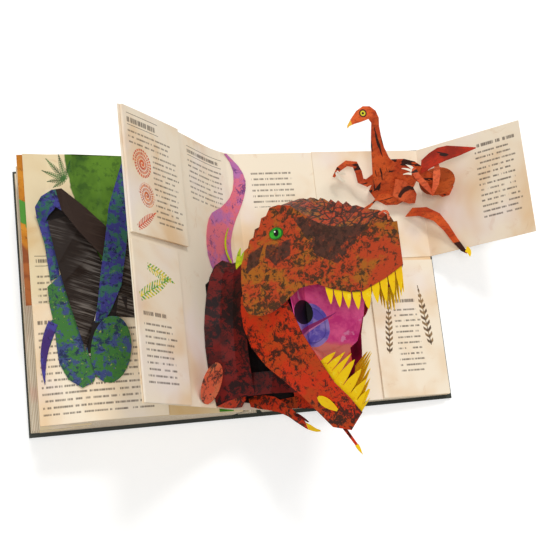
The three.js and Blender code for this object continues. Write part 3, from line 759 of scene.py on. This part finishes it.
@dataclass(frozen=True)
class PredatorHead:
    """Head print outside, deep pink inside."""

    name: str
    skin: Mottle
    patches: tuple[Patch, ...] = ()
    inside: str = "a81648"
    scales: float = 0.0
    one_side: bool = True

    def dress(self) -> bpy.types.Material:
        """Builds the finish.

        Returns:
            The material.
        """
        paint = Paint(self.name)
        head = Predator()
        colour = self.skin.colour(paint)
        back = (head.snout - head.up(paint)) / math.cos(head.wedge)
        grain = paint.noise(170.0, 5.0, 7.0, 0.75)
        brown = paint.mix(grain.rise(0.47, 0.56) * 0.8, "4e3026", "241a16")
        brown = paint.mix(paint.noise(95.0, 3.0, 5.0, 0.7).rise(0.57, 0.63) * 0.6, brown, "8a3a1c")
        for patch in self.patches:
            colour = paint.mix(patch.mask(paint, back) * 0.95, colour, brown)
        if self.scales > 0:
            border = 1.0 - paint.cells(self.scales).rise(0.05, 0.10)
            colour = paint.mix(border * 0.85, colour, "2a1c16")
        if self.one_side:
            pink = paint.mix(paint.noise(30.0, 2.0).rise(0.4, 0.7), self.inside, "5e1020")
            colour = paint.mix(head.outer(paint), pink, colour)
        return paint.finish(colour, 0.52, paint.noise(700.0, 3.0), 0.06)


@dataclass(frozen=True)
class MouthPrint:
    """Pink throat with a dark hole and a violet ring, drawn to be seen down the opening between the jaws."""

    name: str = "mouth_print"
    throat: float = 92.0
    lean_across: float = 0.746
    lean_down: float = 0.263
    red_from: float = 86.0
    dark_from: float = 110.0
    ring: tuple[float, float] = (0.0, -64.7)
    ring_radii: tuple[float, float] = (21.0, 20.5)
    hole: tuple[float, float] = (-6.8, -52.5)
    hole_radii: tuple[float, float] = (11.0, 11.1)
    sliver: tuple[float, float] = (-13.3, -73.0)
    sliver_turn: float = math.radians(25.92)
    sliver_long: float = 49.0
    sliver_half: float = 3.6

    def dress(self) -> bpy.types.Material:
        """Builds the finish.

        Returns:
            The material.
        """
        paint = Paint(self.name)
        head = Predator()
        deep = head.up(paint) - self.throat
        a, b = head.across(paint) + deep * self.lean_across, paint.y + deep * self.lean_down
        clouds = paint.noise(48.0, 3.0, 4.0, 0.65, warp=0.25)
        colour = paint.mix(clouds.rise(0.38, 0.62), "ff6aa8", "e03a8c")
        colour = paint.mix(paint.noise(60.0, 9.0, 3.0).rise(0.60, 0.66) * 0.85, colour, "f0584e")
        colour = paint.mix(paint.noise(75.0, 13.0, 3.0).rise(0.62, 0.68) * 0.7, colour, "ffb0d8")
        low = b * -1.0 + clouds * 16.0
        red = paint.mix(clouds.rise(0.4, 0.56), "ff5a40", "f88a7c")
        colour = paint.mix(low.rise(self.red_from, self.red_from + 6.0), colour, red)
        colour = paint.mix(low.rise(self.dark_from, self.dark_from + 6.0), colour, "c01a50")
        far = oval(a, b, self.ring, self.ring_radii) + (clouds - 0.5) * 0.35
        violet = paint.mix(clouds.rise(0.42, 0.56), "6a5ac8", "a894e0")
        violet = paint.mix(far.within(0.58, 0.66, 0.03) * 0.6, violet, "4a3a98")
        colour = paint.mix(far < 1.0, colour, violet)
        colour = paint.mix(oval(a, b, self.hole, self.hole_radii) < 1.0, colour, "080405")
        cos, sin = math.cos(self.sliver_turn), math.sin(self.sliver_turn)
        u, v = a - self.sliver[0], b - self.sliver[1]
        along, aside = u * cos + v * sin, v * cos - u * sin
        sliver = (aside.size() < (1.0 - along / self.sliver_long) * self.sliver_half) * (along > 0.0)
        colour = paint.mix(sliver, colour, "a02c78")
        colour = paint.mix(sliver * (aside < -1.0), colour, "e08ac0")
        return paint.finish(colour, 0.5, clouds, 0.05)


@dataclass(frozen=True)
class EyePrint:
    """Green eye with a black pupil, a glint and a dark rim."""

    name: str = "eye_print"
    centre: tuple[float, float] = (113.0, 11.0)
    iris: tuple[float, float] = (7.0, 5.477)
    pupil: tuple[float, float] = (2.5, 3.2)
    glint: tuple[float, float] = (0.8, 0.8)

    def dress(self) -> bpy.types.Material:
        """Builds the finish.

        Returns:
            The material.
        """
        paint = Paint(self.name)
        head = Predator()
        u = (head.snout - head.up(paint)) / math.cos(head.wedge) - self.centre[0]
        v = paint.y - self.centre[1]
        far = oval(u, v, (0.0, 0.0), self.iris)
        colour = paint.mix(paint.noise(300.0, 1.0).rise(0.4, 0.6), "3fb52e", "2a8a2e")
        colour = paint.mix(far.rise(0.55, 0.8) * 0.8, colour, "1c4a18")
        colour = paint.mix(oval(u, v, (-0.6, 0.4), self.pupil) < 1.0, colour, "0c0c0a")
        colour = paint.mix(oval(u, v, (0.6, 1.8), self.glint) < 1.0, colour, "f4fff0")
        return paint.finish(colour, 0.4)


@dataclass(frozen=True)
class RunnerSkin:
    """Orange skin of the small runner, with fine hatching, dark stripes, its eye and its beak.

    eye is the eye's centre, eye_radii are those of its rim, iris and pupil, and the beak is what lies above
    beak_z and left of beak_x. Where along is given, the stripes run across the neck at that slant.
    """

    name: str = "runner_print"
    ground: str = "e0602a"
    shade: str = "c0441e"
    stripe: str = "1c1512"
    stripes: float = 0.6
    stretch: tuple[float, float, float] = (0.5, 1.5, 0.8)
    seed: float = 14.0
    along: float | None = None
    neck_top: float = 92.0
    eye: Point = (126.5, 138.5, 105.0)
    eye_radii: Point = (3.9, 2.5, 1.2)
    eye_depth: float = 4.0
    beak_x: float = 146.5
    beak_z: float = 100.0

    def dress(self) -> bpy.types.Material:
        """Builds the finish.

        Returns:
            The material.
        """
        paint = Paint(self.name)
        broad = paint.noise(34.0, 2.0, 4.0, 0.65).rise(0.4, 0.62)
        colour = paint.mix(broad, self.ground, self.shade)
        hatch = paint.noise(230.0, 4.0, 6.0, 0.75, (1, 1.8, 0.7)).rise(0.5, 0.6)
        colour = paint.mix(hatch * 0.5, colour, "7a2a14")
        low, high = self.stripes, self.stripes + 0.02
        stripe = paint.noise(52.0, self.seed, 2.0, 0.5, self.stretch, 0.8).rise(low, high)
        if self.along is not None:
            row = paint.x - paint.y * self.along
            across = paint.flat_noise(row * 0.34, (paint.z + paint.y) * 0.022)
            stripe = across.rise(low, high) * (paint.z < self.neck_top)
        colour = paint.mix(stripe * 0.95, colour, self.stripe)
        dx, dy, dz = (axis - at for axis, at in zip((paint.x, paint.y, paint.z), self.eye))
        gap = (dx * dx + dy * dy).math("SQRT")
        near = dz.size() < self.eye_depth
        for radius, tint, strength in zip(self.eye_radii, ("2a1a14", "ded42e", "161210"), (0.9, 1.0, 1.0)):
            colour = paint.mix((gap < radius) * near * strength, colour, tint)
        beak = (paint.z > self.beak_z) * ((paint.x + paint.y * 0.25) < self.beak_x)
        colour = paint.mix(beak, colour, "edb53a")
        return paint.finish(colour, 0.55, paint.noise(800.0, 3.0), 0.06)


@dataclass(frozen=True)
class Inside:
    """Dark inner side of a card, with pale brush streaks that run along it."""

    name: str
    ground: str = "20150f"
    streak: str = "6e6660"
    slant: float = 0.35
    blue_from: float | None = None

    def dress(self) -> bpy.types.Material:
        """Builds the finish.

        Returns:
            The material.
        """
        paint = Paint(self.name)
        row = paint.y + paint.x * self.slant
        streaks = paint.flat_noise(row * 0.42, paint.x * 0.03)
        fine = paint.flat_noise(row * 1.9, paint.x * 0.05)
        zone = paint.noise(16.0, 2.0, 3.0).rise(0.42, 0.62)
        colour = paint.mix((streaks.rise(0.46, 0.68) * 0.85 + fine.rise(0.48, 0.72) * 0.4) * zone,
                           self.ground, self.streak)
        if self.blue_from is not None:
            edge = paint.x + paint.y * 0.2
            colour = paint.mix(edge < self.blue_from, colour, BLUE_SKIN.colour(paint))
        return paint.finish(colour, 0.6, streaks, 0.05)


@dataclass(frozen=True)
class CutStrip:
    """A narrow piece of card along a bent line, with a width at its start, bend and end."""

    name: str
    start: Point
    bend: Point
    end: Point
    widths: tuple[float, float, float]
    half: Half
    face: Point = (0.0, 0.0, 1.0)
    thick: float = 0.5
    steps: int = 14

    def mesh(self) -> bpy.types.Object:
        """Works out the strip as a grid of its length by its four corners.

        The middle line is (1-t)^2 start + 2t(1-t) bend + t^2 end, and the width follows the same rule.
        At each t the corners stand off the line by half the width sideways and half the thickness up.

        Returns:
            The piece, in millimetres turned to metres.
        """
        t = np.linspace(0.0, 1.0, self.steps)[:, None]
        terms = ((1 - t) ** 2, 2 * t * (1 - t), t ** 2)
        ends = np.array((self.start, self.bend, self.end))
        line = sum(term * point for term, point in zip(terms, ends))
        wide = sum(term * width for term, width in zip(terms, self.widths)) / 2
        ahead = np.gradient(line, axis=0)
        ahead /= np.linalg.norm(ahead, axis=1, keepdims=True)
        up = np.array(self.face) - ahead * (ahead @ np.array(self.face))[:, None]
        up /= np.linalg.norm(up, axis=1, keepdims=True)
        side = np.cross(ahead, up)
        rise = up * self.thick / 2
        corners = np.stack((line - side * wide + rise, line + side * wide + rise,
                            line + side * wide - rise, line - side * wide - rise), axis=1)
        first = (np.arange(self.steps - 1)[:, None] * 4 + np.arange(4)).ravel()
        second = (np.arange(self.steps - 1)[:, None] * 4 + (np.arange(4) + 1) % 4).ravel()
        walls = np.stack((first, first + 4, second + 4, second), axis=1)
        last = (self.steps - 1) * 4
        caps = np.array(((3, 2, 1, 0), (last, last + 1, last + 2, last + 3)))
        faces = np.concatenate((walls, caps))[:, ::-1]
        data = bpy.data.meshes.new(self.name)
        data.from_pydata((corners.reshape(-1, 3) * MM).tolist(), [], faces.tolist())
        data.update()
        return place(self.name, data)

    def dress(self, material: bpy.types.Material) -> None:
        """Makes the piece, gives it its finish and lets it ride on its half of the book.

        Args:
            material: the finish.
        """
        piece = self.mesh()
        piece.data.materials.append(material)
        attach(piece, self.half.value)
        LOG.info("added %s", self.name)


Dressing = tuple[tuple[Finish, tuple[str, ...]], ...]
Cuts = tuple[tuple[Finish, tuple[CutStrip, ...]], ...]


class SubAssembly:
    """Pieces that belong together: packed ones to print, and cut strips to add, in millimetres."""

    def packed(self) -> Dressing:
        """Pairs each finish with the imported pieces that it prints."""
        return ()

    def strips(self) -> Cuts:
        """Pairs each finish with the strips that this group adds."""
        return ()

    def lay(self, node: str, material: bpy.types.Material) -> None:
        """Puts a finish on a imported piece.

        Args:
            node: the piece's name.
            material: the finish.
        """
        piece = bpy.data.objects[node]
        if not piece.material_slots:
            piece.data.materials.append(material)
        for slot in piece.material_slots:
            slot.material = material
        LOG.info("printed %s", node)

    def build(self) -> None:
        """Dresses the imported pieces, then makes and dresses the strips."""
        for finish, nodes in self.packed():
            material = finish.dress()
            for node in nodes:
                self.lay(node, material)
        for finish, strips in self.strips():
            material = finish.dress()
            for strip in strips:
                strip.dress(material)


@dataclass(frozen=True)
class Binding(SubAssembly):
    """The covers and page blocks, and the loose pages that show at the left fore edge."""

    page_half: float = 128.0
    second_page: CutStrip = CutStrip(
        "second_page", (-196.0, 128.0, 64.3), (-196.0, 55.0, 64.3), (-196.0, -17.0, 64.6), (13.0, 13.0, 13.0),
        Half.FRONT, (0.12, 0.0, 1.0), 0.8)
    middle_x: float = -199.0
    middle_z: float = 30.2
    lower_x: float = -202.8
    lower_z: float = 6.0

    def packed(self) -> Dressing:
        """Cloth on the boards, print on the left pages, bare edges on the rest.

        Returns:
            The finishes with their pieces.
        """
        return ((CoverCloth(), ("front_cover", "back_cover", "spine_board")),
                (LeftPages(), ("left_pages",)),
                (PageEdges("page_edges"), ("right_pages", "page_folds")))

    def edge(self, name: str, x: float, z: float, width: float, thick: float) -> CutStrip:
        """Lays page edges along the fore edge, from the head of the book to its foot.

        Args:
            name: the piece's name.
            x: the middle of the strip across the book.
            z: its height.
            width: how far it reaches across.
            thick: how many millimetres of pages it holds.

        Returns:
            The strip.
        """
        line = ((x, self.page_half, z), (x, 0.0, z), (x, -self.page_half, z))
        return CutStrip(name, *line, (width, width, width), Half.FRONT, thick=thick)

    def strips(self) -> Cuts:
        """The second page's strip, and the page edges below it.

        Returns:
            The finishes with their strips.
        """
        return ((SecondPage(), (self.second_page,)),
                (PageEdges("loose_page_edges", 1.5, 1.0), (
                    self.edge("lower_page_stack", self.lower_x, self.lower_z, 9.6, 5.6),
                    self.edge("middle_page_edge", self.middle_x, self.middle_z, 12.0, 1.8))))


@dataclass(frozen=True)
class Pages(SubAssembly):
    """The turned leaf, its booklets, the two other booklets and the fold-out, with their left margins."""

    spread_x: float = -88.0
    leaf_x: float = -184.0
    caption_x: float = -193.0
    foot_leaf: CutStrip = CutStrip(
        "page_foot_leaf", (-31.0, -124.6, 37.0), (-24.0, -124.6, 34.6), (-17.0, -124.6, 32.6),
        (5.4, 5.4, 5.4), Half.FRONT, (0.25, 0.0, 1.0))

    def on_leaf(self) -> Dressing:
        """Prints the turned leaf and its two booklets, measured along the leaf.

        Returns:
            The finishes with their pieces.
        """
        left, inner = self.spread_x, self.leaf_x
        return (
            (PrintedPage("spread_print", (
                Bar(left, -24, 118.4, 119.0), TextBlock(left, -30, 111.4, 117.4, 6, 2, 2.0, 0.9),
                Bar(left, -26, 109.8, 110.4), TextBlock(left, -20, 64, 107, 5.2, 12, 5.0),
                TextBlock(25, 98, 72, 110, 5.9, 8, 8.0)), seed=1.0, on_leaf=True),
             ("turning_leaf_spread",)),
            (PrintedPage("upper_booklet_print", (
                Bar(inner, -137, 121.4, 122.0), TextBlock(inner, -140, 113.0, 120.4, 7.6, 2, 6.0, 1.0),
                Bar(inner, -137, 111.0, 111.6), TextBlock(inner, -116, 92, 108, 5, 8, 1.0),
                TextBlock(-150, -108, 28, 92, 5, 8, 9.0)), (
                Shell(-166, 79, 13.0), Shell(-163, 51, 11.0, 3.2, "e8843a", "b8481e"),
                Frond(-180, 20, 34, 11, 32, 3.2, "e05a34", "b83820")), seed=2.0, on_leaf=True),
             ("leaf_upper_booklet",)),
            (PrintedPage("lower_booklet_print", (
                TextBlock(inner, -150, -57, -50, 6, 0, 7.0, 0.9),
                TextBlock(inner, -136, -114, -60, 5.4, 8, 2.0)), (
                Frond(-186, -40, 54, 15, 24, 4.4, "ecd428", "3f9a34"),
                Frond(-172, -12, 42, 12, -14, 4.0, "e8d028", "4aa03a")), seed=3.0, on_leaf=True),
             ("leaf_lower_booklet",)))

    def packed(self) -> Dressing:
        """Adds the pieces that lie flat or stand at the right.

        Returns:
            The finishes with their pieces.
        """
        left = self.caption_x
        return self.on_leaf() + (
            (PrintedPage("caption_print", (
                TextBlock(left, -170, -38, -31, 6.5, 0, 7.0, 0.9),
                TextBlock(left, -90, -120, -42, 6.2, 8, 2.0)), seed=5.0),
             ("caption_booklet",)),
            (PrintedPage("right_booklet_print", (
                TextBlock(158, 180, -34, -28, 6, 0, 7.0, 0.9),
                TextBlock(156, 184, -104, -38, 5.6, 4, 2.0)), (
                Frond(146, -84, 56, 10, 84, 5.4, "8a6a40", "4a3420"),
                Frond(192, -78, 62, 11, 96, 6.0, "8f7048", "4a3420")), seed=6.0),
             ("lower_right_booklet",)),
            (PrintedPage("fold_out_print", (
                TextBlock(254, 284, 112, 118, 6, 0, 7.0, 0.9),
                TextBlock(252, 284, 36, 110, 5.6, 6, 2.0)), seed=7.0),
             ("fold_out_panel",)))

    def strips(self) -> Cuts:
        """The printed leaf that shows below the turned page."""
        return ((FIELD_SKIN, (self.foot_leaf,)),)


@dataclass(frozen=True)
class BigHead(SubAssembly):
    """The gaping head. Patches have their corners as back from the snout and height."""

    cheek: Patch = Patch(((95, 22), (20, 5), (58, -28), (77, -16)))
    under_eye: Patch = Patch(((124, 3), (100, 3), (102, -11), (117, -17), (127, -7)), 7.0)
    temple: Patch = Patch(((127, 4), (143, -2), (148, -19), (134, -12)), 6.0)
    nostril: CutStrip = CutStrip(
        "nostril_fold", (95.2, 6.9, 219.0), (103.0, 12.9, 223.6), (101.4, 0.1, 226.4), (1.8, 2.8, 2.0),
        Half.BACK, (-0.3, 0.5, 0.8))

    def packed(self) -> Dressing:
        """Skin on the folded sheets, yellow on the teeth, pink in the mouth.

        Returns:
            The finishes with their pieces.
        """
        return (
            (PredatorHead("head_print", REX_SKIN, (self.cheek, self.under_eye, self.temple)),
             ("head_sides",)),
            (PredatorHead("crest_print", REX_SKIN, scales=105.0, one_side=False), ("head_crest",)),
            (PredatorHead("jaw_print", JAW_SKIN), ("lower_jaw",)),
            (YELLOW_SKIN, ("upper_teeth", "lower_teeth")),
            (MouthPrint(), ("mouth_lining", "tongue")),
            (EyePrint(), ("left_eye", "right_eye")))

    def strips(self) -> Cuts:
        """The small fold at the nostril."""
        return ((KNEE_SKIN, (self.nostril,)),)


@dataclass(frozen=True)
class BigBody(SubAssembly):
    """The body of the big animal, with the fingers and spikes that stand on it."""

    right_finger: CutStrip = CutStrip(
        "right_hand_finger", (67.6, -159.9, 120.2), (68.9, -163.4, 123.3), (73.8, -176.3, 132.9),
        (3.0, 2.6, 2.2), Half.BACK, thick=1.2)
    right_nail: CutStrip = CutStrip(
        "right_hand_finger_nail", (73.8, -176.3, 132.9), (74.8, -179.8, 135.2), (75.9, -183.3, 137.6),
        (3.2, 3.4, 0.8), Half.BACK, thick=1.2)
    left_finger: CutStrip = CutStrip(
        "left_hand_back_finger", (28.3, -142.5, 105.8), (32.1, -146.2, 112.8), (35.8, -151.4, 121.0),
        (3.4, 3.0, 1.0), Half.BACK)
    spikes: tuple[CutStrip, ...] = (
        CutStrip("tail_streak", (-6.0, 49.1, 45.4), (-17.0, 28.1, 59.7), (-6.6, 13.8, 46.3), (0.6, 3.6, 2.6),
                 Half.FRONT, (0.79, 0.0, 0.61)),
        CutStrip("neck_spike", (-1.2, 20.6, 77.0), (-5.7, 9.3, 77.0), (-5.4, -1.4, 76.6), (0.8, 6.6, 3.6),
                 Half.FRONT),
        CutStrip("neck_spike_back", (1.8, 16.9, 76.6), (-4.1, 7.1, 76.8), (-2.1, -0.8, 76.4), (0.6, 4.6, 3.0),
                 Half.FRONT))

    def packed(self) -> Dressing:
        """Each card in its own skin.

        Returns:
            The finishes with their pieces.
        """
        return (
            (KNEE_SKIN, ("left_knee",)),
            (JAW_SKIN, ("left_thigh", "right_thigh", "left_arm", "right_arm")),
            (DARK_SKIN, ("left_flank", "right_flank", "left_neck", "right_neck", "chest")),
            (Inside("gutter_print", "0c0807", "1e1210"), ("body_base",)),
            (YELLOW_SKIN, ("left_hand_claw", "right_hand_claw", "thumb_claw")),
            (TAIL_SKIN, ("tail",)))

    def strips(self) -> Cuts:
        """The hands' fingers, and the streak and spikes at the neck."""
        return ((JAW_SKIN, (self.right_finger,)), (DARK_SKIN, (self.left_finger,)), (SPINE_SKIN, self.spikes),
                (YELLOW_SKIN, (self.right_nail,)))


@dataclass(frozen=True)
class Runner(SubAssembly):
    """The small runner on the fold-out, with its nails."""

    nails: tuple[CutStrip, ...] = (
        CutStrip("left_hand_nail", (109.6, 101.0, 40.4), (112.0, 92.0, 40.8), (118.0, 91.0, 41.0),
                 (2.0, 5.6, 0.6), Half.BACK),
        CutStrip("left_hand_nail_upper", (110.6, 102.4, 40.6), (116.0, 98.6, 41.0), (119.6, 98.4, 41.0),
                 (1.6, 3.6, 0.5), Half.BACK),
        CutStrip("right_hand_nail", (184.0, 95.0, 58.1), (179.8, 98.8, 59.1), (175.6, 100.5, 58.9),
                 (3.2, 2.6, 0.5), Half.BACK),
        CutStrip("right_hand_nail_middle", (182.6, 92.5, 58.1), (177.4, 95.0, 59.1), (172.3, 95.4, 58.9),
                 (2.6, 2.2, 0.5), Half.BACK),
        CutStrip("right_hand_nail_lower", (182.1, 89.4, 58.1), (177.6, 90.2, 59.1), (173.0, 89.1, 58.9),
                 (2.6, 2.0, 0.5), Half.BACK))
    foot_nail: CutStrip = CutStrip(
        "right_foot_nail", (233.6, 12.4, 41.4), (237.0, 11.0, 41.8), (236.7, 4.3, 41.4), (6.0, 6.4, 0.8),
        Half.BACK)

    def packed(self) -> Dressing:
        """Striped skins, each with its own colours and run of stripes.

        Returns:
            The finishes with their pieces.
        """
        return (
            (RunnerSkin(), ("runner_body", "runner_left_arm", "runner_left_leg", "runner_right_leg")),
            (RunnerSkin("runner_neck_print", along=-0.45), ("runner_neck",)),
            (RunnerSkin("runner_tail_print", "b8301a", "8e2416", stripes=0.66, seed=3.0), ("runner_tail",)),
            (RunnerSkin("runner_limb_print", "e4683a", "c64a24", stripes=0.63, seed=9.0),
             ("runner_right_arm", "runner_left_thigh")),
            (RunnerSkin("runner_thigh_print", "c25a26", "9a4420", "6a2c16", 0.64, seed=6.0),
             ("runner_right_thigh",)))

    def strips(self) -> Cuts:
        """Pale nails on the hands and a yellow one on the foot."""
        return ((CLAW_SKIN, self.nails), (YELLOW_SKIN, (self.foot_nail,)))


@dataclass(frozen=True)
class LongNeck(SubAssembly):
    """The folded-down long-neck at the left, with its tail tip and dark strips of painted shade in the
    creases inside it.
    """

    strap_blue_from: float = -151.0
    tail_tip: CutStrip = CutStrip(
        "long_neck_tail_tip", (-179.0, -36.0, 71.0), (-192.5, -60.0, 71.0), (-189.9, -91.5, 70.6),
        (9.0, 8.6, 0.5), Half.FRONT)
    # Painted shade: three near-black strips laid in the creases at the strap, the blade and the leg, where
    # the book shows only shade.
    fold_shades: tuple[CutStrip, ...] = (
        CutStrip("strap_fold_shade", (-181.0, 68.0, 67.6), (-170.0, 69.0, 67.6), (-158.0, 69.0, 67.0),
                 (11.0, 18.0, 18.0), Half.FRONT),
        CutStrip("blade_fold_shade", (-131.0, -23.0, 67.6), (-121.0, -24.0, 66.6), (-111.0, -25.0, 65.6),
                 (22.0, 20.0, 18.0), Half.FRONT, (0.15, 0.0, 1.0)),
        CutStrip("leg_fold_shade", (-139.0, -38.0, 69.6), (-146.0, -56.0, 70.0), (-152.0, -78.0, 70.4),
                 (16.0, 17.0, 12.0), Half.FRONT, (0.12, 0.0, 1.0)))

    def packed(self) -> Dressing:
        """Blue and green skins outside, brushed dark card inside.

        Returns:
            The finishes with their pieces.
        """
        return (
            (BLUE_SKIN, ("long_neck_tail", "long_neck_band", "long_neck_blade")),
            (GREEN_SKIN, ("long_neck_foreleg", "long_neck_hind_leg")),
            (Inside("long_neck_inner_print"), ("long_neck_inside", "long_neck_trunk")),
            (Inside("long_neck_strap_print", "2a1a12", "3a2c24", blue_from=self.strap_blue_from),
             ("long_neck_strap",)))

    def strips(self) -> Cuts:
        """The tail's tip and three dark strips of painted shade in its creases."""
        return ((PURPLE_SKIN, (self.tail_tip,)), (Inside("fold_shade_print", "17100d", "2a1f1c"), self.fold_shades))


@dataclass(frozen=True)
class Studio:
    """Camera, lamps, floor and world. Each sun has its name, strength, angle and turns about x and y."""

    camera_mm: tuple[float, float, float] = (-163.5, -226.8, 1098.2)
    forward: tuple[float, float, float] = (0.18111, 0.20623, -0.96160)
    roll_deg: float = 6.378
    lens_mm: float = 73.71
    floor_m: float = 4.0
    floor_drop_m: float = 0.0006
    floor_glow: float = 0.38
    sky: float = 0.46
    suns: tuple[tuple[str, float, float, float, float], ...] = (
        ("key", 1.1, 13.0, -32.0, 10.0), ("fill", 0.85, 16.0, 9.0, -12.0))

    def build(self) -> None:
        """Makes the camera, the lamps, the floor and the world."""
        self.make_camera()
        self.make_floor()
        self.make_light()
        LOG.info("studio ready")

    def make_camera(self) -> None:
        """Points the camera along its line of sight, then rolls it about that line."""
        sight = Vector(self.forward).normalized()
        ahead = (Vector((0, 1, 0)) - sight * sight.y).normalized()
        right = sight.cross(ahead)
        roll = math.radians(self.roll_deg)
        up = ahead * math.cos(roll) + right * math.sin(roll)
        across = sight.cross(up)
        turn = Matrix((across, up, -sight)).transposed()
        data = bpy.data.cameras.new("camera")
        data.lens = self.lens_mm
        data.sensor_width = 36.0
        data.clip_end = 50.0
        camera = place("camera", data)
        camera.matrix_world = Matrix.Translation(Vector(self.camera_mm) * MM) @ turn.to_4x4()
        bpy.context.scene.camera = camera

    def make_floor(self) -> None:
        """Lays a plain white floor that keeps the shadow."""
        signs = np.array(((-1, -1), (1, -1), (1, 1), (-1, 1)))
        corners = np.column_stack((signs * self.floor_m / 2, np.full(4, -self.floor_drop_m)))
        mesh = bpy.data.meshes.new("floor")
        mesh.from_pydata(corners.tolist(), [], [(0, 1, 2, 3)])
        floor = place("floor", mesh)
        paint = Paint("floor_paint")
        material = paint.finish("e4e4e2", 0.9)
        glow = paint.node("ShaderNodeEmission", {}, {"Color": WHITE, "Strength": self.floor_glow})
        dark = paint.node("ShaderNodeEmission", {}, {"Strength": 0.0})
        seen = paint.node("ShaderNodeLightPath").outputs["Is Camera Ray"]
        choice = paint.node("ShaderNodeMixShader", {}, {0: seen, 1: dark.outputs[0], 2: glow.outputs[0]})
        both = paint.node("ShaderNodeAddShader", {}, {0: paint.surface.outputs[0], 1: choice.outputs[0]})
        paint.feed(paint.out.inputs[0], both.outputs[0])
        mesh.materials.append(material)

    def make_light(self) -> None:
        """Lights the book from above and behind, with a soft fill from the front and an even sky."""
        for name, energy, spread, turn_x, turn_y in self.suns:
            sun = bpy.data.lights.new(name, "SUN")
            sun.energy = energy
            sun.angle = math.radians(spread)
            lamp = place(name, sun)
            lamp.rotation_euler = (math.radians(turn_x), math.radians(turn_y), 0)
        world = bpy.data.worlds.new("sky")
        world.use_nodes = True
        graph = Graph(world.node_tree)
        sky = graph.node("ShaderNodeBackground", {}, {0: WHITE, 1: self.sky})
        white = graph.node("ShaderNodeBackground", {}, {0: WHITE, 1: 1.0})
        path = graph.node("ShaderNodeLightPath")
        seen = graph.node("ShaderNodeMath", {"operation": "MAXIMUM"}, {
            0: path.outputs["Is Camera Ray"], 1: path.outputs["Is Glossy Ray"]})
        choice = graph.node("ShaderNodeMixShader", {}, {
            0: seen.outputs[0], 1: sky.outputs[0], 2: white.outputs[0]})
        graph.node("ShaderNodeOutputWorld", {}, {0: choice.outputs[0]})
        bpy.context.scene.world = world
        bpy.context.scene.view_settings.view_transform = "Standard"


def main() -> None:
    """Builds and dresses every sub-assembly in order, then the studio."""
    logging.basicConfig(level=logging.INFO, format="%(name)s: %(message)s")
    for group in (Binding(), Pages(), BigHead(), BigBody(), Runner(), LongNeck()):
        group.build()
    Studio().build()


if __name__ == "__main__":
    main()
